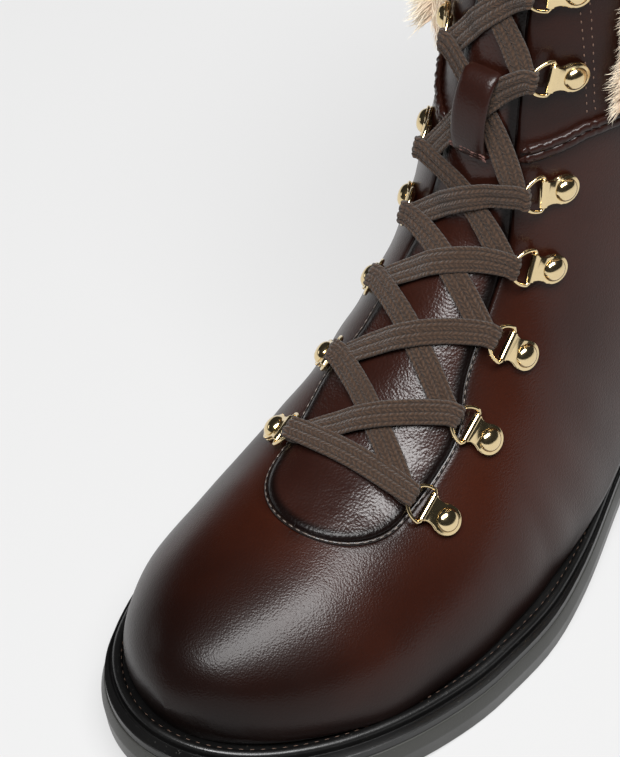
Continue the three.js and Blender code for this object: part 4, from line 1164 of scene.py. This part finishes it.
# %% [markdown]
# ## The lace
# A flat braid goes straight across the lowest rings and crosses six times above them. At each ring it comes
# over the bow, turns round the wire and leaves beneath, so each strap is swept along a path with a half turn
# at both ends. Its section has four ribs and soft edges.

# %% Where a strap meets a ring
LACE_WIDTH, LACE_THICKNESS, LACE_LIFT = 6.3, 1.45, 0.3
WRAP = WIRE + LACE_THICKNESS / 2


def ring_bow(pair_index, side):
    f = frames[pair_index][0 if side > 0 else 1]
    lean = -math.cos(RING_LEAN) * f["out"] + math.sin(RING_LEAN) * f["normal"]
    bar = f["origin"] + f["out"] * BAR_PLACE + f["normal"] * (BAR_HEIGHT - 0.25)
    above = unit(f["normal"] - lean * lean.dot(f["normal"]))
    return {"apex": bar + lean * RING_DEPTH, "lean": lean, "above": above, "climb": f["climb"]}


def ridge_place(pair_index, side):
    """Distance along the ridge and place round the section under a ring's bow."""
    bow = ring_bow(pair_index, side)
    row, place = RING_PAIRS[pair_index][:2]
    places, distances = np.linspace(0.01, place, 90), distance_at(row) + np.linspace(-10, 3, 80)
    distances, places = (grid.ravel() for grid in np.meshgrid(distances, places))
    feet = skin_point(row_at(distances), side * places)
    best = int(np.argmin(np.linalg.norm(feet - bow["apex"], axis=1)))
    s, u = float(distances[best]), side * float(places[best])
    return s, u, float((bow["apex"] - feet[best]) @ skin_normal(row_at(s), u))


# %% Path of one strap, from under one ring to over another
def ease(t, share=0.07):
    """Goes from 0 to 1, setting off and arriving square to the rings."""
    ramp = np.where(
        t < share, t * t / (2 * share),
        np.where(t > 1 - share, 1 - share - (1 - t) ** 2 / (2 * share), t - share / 2)
    )
    return ramp / (1 - share)


STRAP_STEPS, WRAP_STEPS, WRAP_PAST = 64, 9, math.radians(12)


def strap_path(a, side, b, middle_lift, first=False):
    start, end = ring_bow(a, side), ring_bow(b, -side)
    s0, u0, h0 = ridge_place(a, side)
    s1, u1, h1 = ridge_place(b, -side)
    t = np.linspace(0, 1, STRAP_STEPS)
    v = row_at(s0 + (s1 - s0) * ease(t))
    u = u0 + (u1 - u0) * t
    ends = (h0 - WRAP if not first else h0 + WRAP, h1 + WRAP)
    rest = (
        tongue_lift(v) + LACE_LIFT + LACE_THICKNESS / 2
        + middle_lift * np.exp(-(((2 * t - 1) / 0.36) ** 4))
    )
    lift = (
        rest + (ends[0] - rest) * np.maximum(1 - 2 * t, 0) ** 2.2
        + (ends[1] - rest) * np.maximum(2 * t - 1, 0) ** 2.2
    )
    lift = lift + 0.25 * np.sin(5 * t + 2 * a + side)
    body = skin(v, u, lift)
    normal = skin_normal(v, u)
    way = -1 if first else 1
    turn = np.linspace(way * WRAP_PAST, -way * math.pi / 2, WRAP_STEPS)[:-1]
    wrap_a = (
        start["apex"]
        - WRAP * (np.cos(turn)[:, None] * start["lean"] - np.sin(turn)[:, None] * start["above"])
    )
    turn = np.linspace(math.pi / 2, -WRAP_PAST, WRAP_STEPS)[1:]
    wrap_b = (
        end["apex"]
        - WRAP * (np.cos(turn)[:, None] * end["lean"] - np.sin(turn)[:, None] * end["above"])
    )
    under = start["apex"] + (WRAP if first else -WRAP) * start["above"]
    over_end = end["apex"] + WRAP * end["above"]
    body = (
        body + (under - body[0]) * (1 - smooth(t, 0, 0.3))[:, None]
        + (over_end - body[-1]) * smooth(t, 0.7, 1)[:, None]
    )
    path = np.concatenate([wrap_a, body, wrap_b])
    across = np.concatenate([
        np.repeat([side * start["climb"]], len(wrap_a), 0), np.full((STRAP_STEPS, 3), np.nan),
        np.repeat([side * end["climb"]], len(wrap_b), 0)
    ])
    ahead = unit(np.gradient(path, axis=0))
    free = unit(np.cross(ahead[len(wrap_a):-len(wrap_b)], normal))
    near_a, near_b = (1 - smooth(t, 0, 0.22))[:, None], smooth(t, 0.78, 1)[:, None]
    free = unit(free * (1 - near_a - near_b) + side * start["climb"] * near_a + side * end["climb"] * near_b)
    across[len(wrap_a):-len(wrap_b)] = free
    across = unit(across - ahead * (across * ahead).sum(-1, keepdims=True))
    return path, ahead, across


# %% Sweep the ribbed section of the braid along a path
def lace_section():
    """Points round the braid's section, from one edge over the top to the other and back, with U for each."""
    w = np.sin(np.linspace(-1, 1, 33) * math.pi / 2) * 0.4 + np.linspace(-1, 1, 33) * 0.6
    edge = np.sqrt(np.clip(1 - np.abs(w) ** 4, 0, 1))
    rib = 1 - 0.42 * np.abs(np.cos(1.5 * math.pi * w)) ** 5
    top = edge * rib
    x = np.concatenate([w, w[::-1][1:-1]])
    z = np.concatenate([top, -top[::-1][1:-1]])
    return x * LACE_WIDTH / 2, z * LACE_THICKNESS / 2, (x + 1) / 2


def sweep_lace(path, ahead, across, gather):
    x, z, u_tex = lace_section()
    lift = np.cross(ahead, across)
    length = np.concatenate([[0], np.cumsum(np.linalg.norm(np.diff(path, axis=0), axis=1))])
    width = gather[:, None]
    rings = (
        path[:, None] + across[:, None] * (x * width)[..., None]
        + lift[:, None] * (z[None] * (1 + 0.35 * (1 - width)))[..., None]
    )
    uv = np.stack([np.repeat(u_tex[None], len(path), 0), np.repeat(length[:, None], len(x), 1)], -1)
    return rings, uv


straps = [strap_path(0, -1, 0, 0.0, first=True)]
for n in range(len(RING_PAIRS) - 1):
    straps.append(strap_path(n, -1, n + 1, 0.95 * LACE_THICKNESS))
    straps.append(strap_path(n, 1, n + 1, 0.0))
points, faces, uvs, count, lengths = [], [], [], 0, []
for path_points, ahead, across in straps:
    t = np.linspace(0, 1, len(path_points))
    gather = 1 - 0.12 * (np.exp(-((t / 0.14) ** 2)) + np.exp(-(((1 - t) / 0.14) ** 2)))
    rings, uv = sweep_lace(path_points, ahead, across, gather)
    rows, columns = rings.shape[:2]
    faces += grid_faces(rows, columns, False, True, count)
    faces += [
        tuple(count + j for j in range(columns))[::-1],
        tuple(count + (rows - 1) * columns + j for j in range(columns))
    ]
    points.append(rings.reshape(-1, 3))
    uvs.append(uv.reshape(-1, 2))
    lengths.append(np.linalg.norm(np.diff(path_points, axis=0), axis=1).sum())
    count += rows * columns
lace_mesh = make_mesh("lace", np.concatenate(points), faces, None, np.concatenate(uvs))
tidy(lace_mesh, 1e-7)
lace = add_object("flat_lace", lace_mesh, woven)
finish_piece(lace, "lace", "lace")
print("lace between the rings:", round(sum(lengths)), "mm")

# %% [markdown]
# ## Keeper loop
# A short leather loop is sewn to the tongue at both ends and holds the crossing in its middle. It is a swept
# strap too, arched by a power of a sine, with a little roll at its sides.

# %% Keeper loop
KEEPER_ROW, KEEPER_LENGTH, KEEPER_WIDTH, KEEPER_THICKNESS = 11.37, 22.4, 9.2, 1.3
KEEPER_TAPER, KEEPER_ARCH, KEEPER_ROUND = 0.012, 5.1, 0.35
t = np.linspace(0, 1, 60)
s = distance_at(KEEPER_ROW) + KEEPER_LENGTH * t
v = row_at(s)
arch = tongue_lift(v) + CLEARANCE + KEEPER_THICKNESS / 2 + KEEPER_ARCH * np.sin(math.pi * t) ** 0.42
centre = skin(v, 0 * v, arch)
ahead = unit(np.gradient(centre, axis=0))
across = np.repeat([[0.0, 1.0, 0.0]], len(t), 0)
lift = unit(np.cross(ahead, across))
lift = lift * np.sign((lift * skin_normal(v, 0 * v)).sum(-1, keepdims=True))
turn = full_turn(40)
x = np.sign(np.cos(turn)) * np.abs(np.cos(turn)) ** 0.35
z = np.sign(np.sin(turn)) * np.abs(np.sin(turn)) ** 0.7
width = KEEPER_WIDTH / 2 * (1 - KEEPER_TAPER * t**4)
rings = centre[:, None] + across[:, None] * (x[None] * width[:, None])[..., None]
height = z[None] * KEEPER_THICKNESS / 2 - KEEPER_ROUND * np.abs(x[None]) ** 6
rings = rings + lift[:, None] * height[..., None]
keeper = joined("keeper_loop_strap", [("stack", rings)], strap_leather)
finish_piece(keeper, "leather", "keeper_loop")

# %% [markdown]
# ## Rolled edge at the ankle
# Where the shaft is sewn into the quarters, the quarter's top is folded over and pulled into small wrinkles.
# It is a tube that follows the leather at one height, squeezed flat, with waves along it.


# %% Lines on the leather at a height
def row_at_height(u, z):
    """Section where the leather reaches a height, given as a number or as a rule for x."""
    low, high = np.full(u.shape, 8.0), np.full(u.shape, float(LAST_ROW))
    for _ in range(30):
        mid = (low + high) / 2
        p = skin_point(mid, u)
        below = p[..., 2] < (z(p[..., 0]) if callable(z) else z)
        low, high = np.where(below, mid, low), np.where(below, high, mid)
    return (low + high) / 2


def seam_line(side, under, first, last, count):
    u = side * (first + (last - first) * np.linspace(0, 1, count) ** 1.3)
    return row_at_height(u, lambda x: seam_height(x) - under), u


# Side, distance under the seam, half height and half width of each roll
ROLLS = [(1, 0.9, 0.9, 1.15), (-1, 0.9, 0.9, 1.15), (1, 3.1, 0.55, 1.1), (-1, 3.1, 0.55, 1.1)]
seam_start = float(around_at(np.float64(12.2), throat_half(distance_at(12.2))))
rolls = []
for side, under, tall, wide in ROLLS:
    v, u = seam_line(side, under, seam_start + 0.012, 1.0, 260)
    centre = skin(v, u, np.full(len(v), 0.15))
    ahead = unit(np.gradient(centre, axis=0))
    normal = skin_normal(v, u)
    low = np.cross(ahead, normal)
    length = np.concatenate([[0], np.cumsum(np.linalg.norm(np.diff(centre, axis=0), axis=1))])
    turn = full_turn(16)
    swell = 1 + 0.2 * np.sin(length * 1.9 + under + 2 * np.sin(length * 0.37)) + 0.14 * np.sin(length * 3.7)
    size = np.minimum(length / 3 + 0.4, 1)
    rings = (
        centre[:, None]
        + normal[:, None] * (tall * np.sin(turn)[None] * (swell * size)[:, None])[..., None]
    )
    rings = rings + low[:, None] * (wide * np.cos(turn)[None] * size[:, None])[..., None]
    rolls.append(("stack", rings))
roll = joined("rolled_ankle_edge", rolls, strap_leather)
finish_piece(roll, "leather")

# %% [markdown]
# ## Stitching
# A seam is hundreds of equal stitches at a set pitch, which is work for Geometry Nodes: a line becomes a
# curve, is resampled to the pitch, and gets one small rounded stitch at each point, turned along the line.


# %% Geometry Nodes tree for stitches
def stitch_tree():
    tree = bpy.data.node_groups.new("stitch row", "GeometryNodeTree")
    face = tree.interface
    face.new_socket("Geometry", in_out="INPUT", socket_type="NodeSocketGeometry")
    for name, value in (("Pitch", 0.0022), ("Length", 0.0016), ("Thickness", 0.00045)):
        face.new_socket(name, in_out="INPUT", socket_type="NodeSocketFloat").default_value = value
    face.new_socket("Thread", in_out="INPUT", socket_type="NodeSocketMaterial")
    face.new_socket("Geometry", in_out="OUTPUT", socket_type="NodeSocketGeometry")
    given, made = tree.nodes.new("NodeGroupInput"), tree.nodes.new("NodeGroupOutput")
    curve = add_node(tree, "GeometryNodeMeshToCurve", {"Mesh": given.outputs["Geometry"]})
    even = add_node(
        tree, "GeometryNodeResampleCurve",
        {"Curve": curve.outputs[0], "Length": given.outputs["Pitch"]}, mode="LENGTH"
    )
    ball = add_node(tree, "GeometryNodeMeshUVSphere", {"Segments": 6, "Rings": 5, "Radius": 0.5})
    size = add_node(
        tree, "ShaderNodeCombineXYZ",
        {"X": given.outputs["Length"], "Y": given.outputs["Thickness"], "Z": given.outputs["Thickness"]}
    )
    shape = add_node(tree, "GeometryNodeTransform", {"Geometry": ball.outputs[0], "Scale": size.outputs[0]})
    tangent = tree.nodes.new("GeometryNodeInputTangent")
    turn = add_node(tree, "FunctionNodeAlignRotationToVector", {"Vector": tangent.outputs[0]}, axis="X")
    spread = add_node(
        tree, "GeometryNodeInstanceOnPoints",
        {"Points": even.outputs[0], "Instance": shape.outputs[0], "Rotation": turn.outputs[0]}
    )
    real = add_node(tree, "GeometryNodeRealizeInstances", {0: spread.outputs[0]})
    painted = add_node(
        tree, "GeometryNodeSetMaterial", {0: real.outputs[0], "Material": given.outputs["Thread"]}
    )
    tree.links.new(painted.outputs[0], made.inputs[0])
    return tree


STITCHES = stitch_tree()


def through_nodes(piece, tree, **values):
    """Runs a Geometry Nodes tree on a piece and keeps the result as its mesh."""
    modifier = piece.modifiers.new("nodes", "NODES")
    modifier.node_group = tree
    names = {item.name: item.identifier for item in tree.interface.items_tree if item.in_out == "INPUT"}
    for name, value in values.items():
        modifier[names[name]] = value
    piece.update_tag()
    apply_modifiers(piece)
    return piece


def line_piece(name, lines):
    """Loose edges along lines of points, for a tree to work on."""
    points, edges = [], []
    for line in lines:
        start = len(points)
        points += list((np.asarray(line) - ORIGIN) / 1000)
        edges += [(start + k, start + k + 1) for k in range(len(line) - 1)]
    mesh = bpy.data.meshes.new(name)
    mesh.from_pydata([tuple(p) for p in points], edges, [])
    return add_object(name, mesh)


def sew(name, lines, material, pitch=2.2, length=1.6, thickness=0.45):
    piece = line_piece(name, lines)
    through_nodes(
        piece, STITCHES, Pitch=pitch / 1000, Length=length / 1000, Thickness=thickness / 1000,
        Thread=material
    )
    for face in piece.data.polygons:
        face.use_smooth = True
    return finish_piece(piece, "leather")


# %% Seam round the plug, just outside its edge
def throat_line(out, last_s, lift):
    t = np.concatenate([
        1 - np.cos(np.linspace(0, math.pi / 2, 40)),
        np.linspace(1, (last_s - THROAT_START) / THROAT_ROUND, 50)[1:]
    ])
    s = THROAT_START - out + (THROAT_ROUND + out) * np.minimum(t, 1) + THROAT_ROUND * np.maximum(t - 1, 0)
    y = throat_half(np.maximum(s, THROAT_START - out), out) if out else throat_half(s)
    v = row_at(s)
    lines = [skin(v, side * around_at(v, y), np.full(len(v), lift)) for side in (1, -1)]
    return np.concatenate([lines[1][::-1], lines[0][1:]])


seam_path = throat_line(0.0, THROAT_START + 66, 0.12)
ahead = unit(np.gradient(seam_path, axis=0))
turn = full_turn(12)
seam_up = unit(np.stack([skin_normal(row_at(THROAT_START + 30.0), 0.0)] * len(seam_path)))
seam_up = unit(seam_up - ahead * (seam_up * ahead).sum(-1, keepdims=True))
seam_side = np.cross(ahead, seam_up)
rings = (
    seam_path[:, None]
    + 0.6 * (seam_side[:, None] * np.cos(turn)[None, :, None] + seam_up[:, None] * np.sin(turn)[None, :, None])
)
finish_piece(joined("plug_piping", [("stack", rings)], dark_cord), "plug")
sew("plug_seam", [throat_line(0.15, THROAT_START + 64, 0.66)], waxed_thread, 2.1, 1.5, 0.36)
sew("bead_stitches", [bead_line], pale_thread, 2.6, 1.3, 0.12)

# %% Facing rows near the fur, the counter's double row and the tack on the keeper
FACING_X, FACING_TOP, DOUBLE_ROW = 126.0, 168, (1.6, 3.4)
COUNTER_ROWS_TOP = COUNTER_HEIGHT + 34
TACK_ROWS, TACK_HALF, TACK_POINTS = (0.6, 1.5, 2.4), 3.7, 14


def rows_beside(line_x, heights, places, lift, offsets, near_enough):
    """Rows over the given heights that keep an offset in x from a line, on both sides of the boot."""
    rows = []
    for side in (1, -1):
        for offset in offsets:
            row = []
            for height in heights:
                level = np.full(len(places), height)
                spots = skin(row_at_height(side * places, level), side * places, np.full(len(places), lift))
                away = np.abs(spots[:, 0] - line_x(height) - offset)
                if away.min() < near_enough:
                    row.append(spots[int(np.argmin(away))])
            rows.append(row)
    return rows


facing_heights = np.linspace(SEAM_HEIGHT + 2.5, FACING_TOP, 60)
facing_rows = rows_beside(
    lambda z: FACING_X, facing_heights, np.linspace(0.1, 0.45, 160), 0.08 - SEAM_STEP, DOUBLE_ROW, math.inf)
sew("facing_rows", facing_rows, pale_thread, 2.3, 0.9, 0.35)
counter_heights = np.linspace(FEATHER + HEEL_LIFT + 3, COUNTER_ROWS_TOP, 90)
counter_rows = rows_beside(
    counter_line, counter_heights, np.linspace(0.45, 1.0, 240), COUNTER_STEP + 0.03,
    [-x for x in DOUBLE_ROW], 1)
sew("counter_rows", counter_rows, dark_thread, 2.3, 1.7, 0.4)
tack = []
for k, at in enumerate(TACK_ROWS):
    s0 = float(distance_at(KEEPER_ROW)) + at
    y = np.linspace(-TACK_HALF, TACK_HALF, TACK_POINTS)
    v = row_at(np.full(TACK_POINTS, s0) + 0.25 * np.sin(6 * y + k))
    top_lift = (
        tongue_lift(v) + CLEARANCE + KEEPER_THICKNESS
        + KEEPER_ARCH * np.sin(math.pi * at / KEEPER_LENGTH) ** 0.42
    )
    tack.append(skin(v, np.sign(y) * around_at(v, np.abs(y)), top_lift - 0.05))
sew("keeper_tack", tack, red_thread, 1.1, 1.3, 0.5)

# %% [markdown]
# ## Fur collar
# The pile is a thick band with thousands of hairs on it; the band and the hairs' roots are tan, partly the
# wool's tone and partly painted shade deep in the pile. Geometry Nodes spread the hairs over the band with a
# fixed seed. Their direction is the band's normal, pulled down and swayed by a slow noise, so that neighbours
# lean together into locks.

# %% The band under the hairs
FACING_AROUND, FUR_DEPTH, FUR_RISE = 0.24, 6.5, 3.0


def collar_point(u, share, out, over_by):
    top_z = skin_point(np.full(u.shape, float(LAST_ROW)), u)[..., 2]
    z = SEAM_HEIGHT + CLEARANCE + (top_z - SEAM_HEIGHT - CLEARANCE) * share
    p = skin(row_at_height(u, z), u, out)
    p[..., 2] += over_by
    return p


places = np.linspace(FACING_AROUND, 1, 90)
around = np.concatenate([places, -places[::-1][1:]])
# Share of the height over the seam, share of the depth and share of the rise over the collar
BAND_SHARES = [0, 0.04, 0.1, 0.2, 0.5, 0.8, 0.97, 1, 1, 1]
outside = list(zip(
    BAND_SHARES, [0.3, 0.7, 0.92, 1, 1.05, 1, 0.9, 0.6, 0.1, -0.3], [0] * 6 + [0.2, 0.75, 1, 0.8]
))
inside = list(zip(BAND_SHARES, [0.02] * 8 + [-0.1, -0.36], [0] * 6 + [0.1, 0.15, 0.3, 0.6]))
BAND_DEPTH, BAND_RISE, BAND_GAP = 0.62 * FUR_DEPTH, 0.62 * FUR_RISE, 0.1


def band_column(share, out, over_by, gap=0.0):
    return collar_point(around, share, np.full(around.shape, gap + out * BAND_DEPTH), over_by * BAND_RISE)


columns = [band_column(*row) for row in outside] + [band_column(*row, BAND_GAP) for row in inside[::-1]]
band = np.stack(columns, 1)
band_piece = joined("pile_band", [("stack", band)], cream_pile)
print("band", band.shape)


# %% One hair: three sides, tapered, with a bend
def hair_object():
    """Hair along +Z, one unit long, with its reach from root to tip stored on it."""
    points, reach = [], []
    for z, r, bend_by in ((0, 0.017, 0), (0.55, 0.015, 0.06)):
        for k in range(3):
            turn = 2 * math.pi * k / 3
            points.append((bend_by + r * math.cos(turn), r * math.sin(turn), z))
            reach.append(z)
    points.append((0.24, 0, 1))
    reach.append(1)
    faces = [(2, 1, 0)]
    for k in range(3):
        j = (k + 1) % 3
        faces += [(k, j, 3 + j, 3 + k), (3 + k, 3 + j, 6)]
    mesh = bpy.data.meshes.new("hair")
    mesh.from_pydata(points, [], faces)
    mesh.attributes.new("reach", "FLOAT", "POINT").data.foreach_set("value", reach)
    return add_object("hair_pattern", mesh)


# %% Geometry Nodes tree for the pile
def pile_tree():
    tree = bpy.data.node_groups.new("pile", "GeometryNodeTree")
    face = tree.interface
    face.new_socket("Geometry", in_out="INPUT", socket_type="NodeSocketGeometry")
    for name, value in (("Density", 900000.0), ("Hair Length", 0.009), ("Fall", 0.75), ("Sway", 1.5)):
        face.new_socket(name, in_out="INPUT", socket_type="NodeSocketFloat").default_value = value
    face.new_socket("Seed", in_out="INPUT", socket_type="NodeSocketInt")
    face.new_socket("Hair", in_out="INPUT", socket_type="NodeSocketObject")
    face.new_socket("Pile", in_out="INPUT", socket_type="NodeSocketMaterial")
    face.new_socket("Geometry", in_out="OUTPUT", socket_type="NodeSocketGeometry")
    given, made = tree.nodes.new("NodeGroupInput"), tree.nodes.new("NodeGroupOutput")
    spots = add_node(
        tree, "GeometryNodeDistributePointsOnFaces",
        {
            "Mesh": given.outputs["Geometry"], "Density": given.outputs["Density"],
            "Seed": given.outputs["Seed"]
        }
    )
    where = tree.nodes.new("GeometryNodeInputPosition").outputs[0]
    slow = add_node(tree, "ShaderNodeTexNoise", {"Vector": where, "Scale": 95.0, "Detail": 1.0})
    centred = add_node(
        tree, "ShaderNodeVectorMath", {0: slow.outputs["Color"], 1: (0.5, 0.5, 0.5)},
        operation="SUBTRACT"
    )
    sway = add_node(
        tree, "ShaderNodeVectorMath", {0: centred.outputs[0], "Scale": given.outputs["Sway"]},
        operation="SCALE"
    )
    down = add_node(
        tree, "ShaderNodeCombineXYZ", {"Z": math_node(tree, "MULTIPLY", given.outputs["Fall"], -1.0)}
    )
    pull = add_node(
        tree, "ShaderNodeVectorMath", {0: spots.outputs["Normal"], 1: down.outputs[0]}, operation="ADD"
    )
    lean = add_node(tree, "ShaderNodeVectorMath", {0: pull.outputs[0], 1: sway.outputs[0]}, operation="ADD")
    draw = add_node(
        tree, "FunctionNodeRandomValue", {0: (-0.16, -0.16, -0.16), 1: (0.16, 0.16, 0.16), "Seed": 4},
        data_type="FLOAT_VECTOR"
    )
    lean = add_node(tree, "ShaderNodeVectorMath", {0: lean.outputs[0], 1: draw.outputs[0]}, operation="ADD")
    turn = add_node(tree, "FunctionNodeAlignRotationToVector", {"Vector": lean.outputs[0]}, axis="Z")
    spin = add_node(tree, "FunctionNodeRandomValue", {2: 0.0, 3: 6.28, "Seed": 7}, data_type="FLOAT")
    roll_by = add_node(
        tree, "FunctionNodeAxisAngleToRotation", {"Axis": (0, 0, 1), "Angle": spin.outputs[1]}
    )
    turned = add_node(
        tree, "FunctionNodeRotateRotation", {0: turn.outputs[0], 1: roll_by.outputs[0]},
        rotation_space="LOCAL"
    )
    long = add_node(tree, "FunctionNodeRandomValue", {2: 0.6, 3: 1.15, "Seed": 9}, data_type="FLOAT")
    size = math_node(tree, "MULTIPLY", long.outputs[1], given.outputs["Hair Length"])
    hair = add_node(tree, "GeometryNodeObjectInfo", {"Object": given.outputs["Hair"]})
    spread = add_node(
        tree, "GeometryNodeInstanceOnPoints",
        {
            "Points": spots.outputs["Points"], "Instance": hair.outputs["Geometry"],
            "Rotation": turned.outputs[0], "Scale": size
        }
    )
    real = add_node(tree, "GeometryNodeRealizeInstances", {0: spread.outputs[0]})
    painted = add_node(
        tree, "GeometryNodeSetMaterial", {0: real.outputs[0], "Material": given.outputs["Pile"]}
    )
    tree.links.new(painted.outputs[0], made.inputs[0])
    return tree


# %% Hairs on the band, in pieces so that none is too heavy
PILE = pile_tree()
hair_pattern = hair_object()
UNDER_HAIRS = 2
outer_face = band[:, UNDER_HAIRS : len(outside)]
first_end = np.stack([band[0, ::-1][: len(inside)], band[0, : len(outside)]])
last_end = np.stack([band[-1, : len(outside)], band[-1, ::-1][: len(inside)]])
CUTS = [(0, 37), (36, 73), (72, 108), (107, 143), (142, len(around))]
SHORT_HAIR, LONG_HAIR = 0.0042, 0.0078
DENSITY, QUICK_DENSITY = 4000000.0, 250000.0
patches = [("pile_hairs_ends", [first_end, last_end], SHORT_HAIR)]
patches += [(f"pile_hairs_{k + 1}", [outer_face[a:b]], LONG_HAIR) for k, (a, b) in enumerate(CUTS)]
for k, (name, grids, hair_length) in enumerate(patches):
    patch_faces, count = [], 0
    for grid in grids:
        patch_faces += grid_faces(*grid.shape[:2], False, False, count)
        count += grid.shape[0] * grid.shape[1]
    mesh = make_mesh(name, np.concatenate([grid.reshape(-1, 3) for grid in grids]), patch_faces)
    hairs = add_object(name, mesh)
    density = DENSITY
    lengths = {"Hair Length": hair_length}
    through_nodes(hairs, PILE, Density=density, Seed=k + 1, Hair=hair_pattern, Pile=cream_pile, **lengths)
    finish_piece(hairs, "fur")
bpy.data.objects.remove(hair_pattern)
finish_piece(band_piece, "fur", "fur_collar")

# %% [markdown]
# ## Floor and light
# A product photographer uses a white table and large soft boxes. The long one overhead gives the pale streak
# across the vamp, a weak one on the inner side gives a thin rim, and the rest stays dark.

# %% Floor
FLOOR_GREY, FLOOR_GLOW, FLOOR_REACH = 0.12, 0.65, 4
floor_mesh = bpy.data.meshes.new("floor")
corners = [(-FLOOR_REACH, -FLOOR_REACH, 0), (FLOOR_REACH, -FLOOR_REACH, 0)]
corners += [(FLOOR_REACH, FLOOR_REACH, 0), (-FLOOR_REACH, FLOOR_REACH, 0)]
floor_mesh.from_pydata(corners, [], [(0, 1, 2, 3)])
floor_material, _, floor_shader = new_material("white table")
floor_shader.inputs["Base Color"].default_value = (FLOOR_GREY, FLOOR_GREY, FLOOR_GREY, 1)
floor_shader.inputs["Roughness"].default_value = 0.9
floor_shader.inputs["Emission Color"].default_value = (1, 1, 1, 1)
floor_shader.inputs["Emission Strength"].default_value = FLOOR_GLOW
floor = add_object("white_table", floor_mesh, floor_material)


# %% Soft boxes
def soft_box(name, position, aim, size, power, long_side):
    light = bpy.data.lights.new(name, "AREA")
    light.shape, light.size, light.size_y, light.energy = "RECTANGLE", size[0], size[1], power
    box = bpy.data.objects.new(name, light)
    away = (Vector(position) - Vector(aim)).normalized()
    across = away.cross(Vector(long_side).cross(away)).normalized()
    across = -across if across.dot(Vector(long_side)) < 0 else across
    axes = Matrix((across, away.cross(across), away)).transposed()
    box.matrix_world = Matrix.Translation(position) @ axes.to_4x4()
    bpy.context.scene.collection.objects.link(box)
    return box


# Name, place, aim, size, power in watts and direction of the long side
SOFT_BOXES = [
    ("overhead", (0.424, 0.344, 1.245), (0.08, 0, 0.04), (1.2, 0.5), 38, (-0.84, 0.46, 0.18)),
    ("rim", (0.5, -1.2, 0.3), (0.05, 0, 0.05), (0.5, 0.2), 0.5, (1, 0, 0)),
]
for box in SOFT_BOXES:
    soft_box(*box)
print("soft boxes:", len(SOFT_BOXES))
world = bpy.data.worlds.new("studio")
world.use_nodes = True
world.node_tree.nodes["Background"].inputs["Color"].default_value = (1, 1, 1, 1)
world.node_tree.nodes["Background"].inputs["Strength"].default_value = 0.03
bpy.context.scene.world = world
bpy.context.scene.view_settings.view_transform = "Standard"
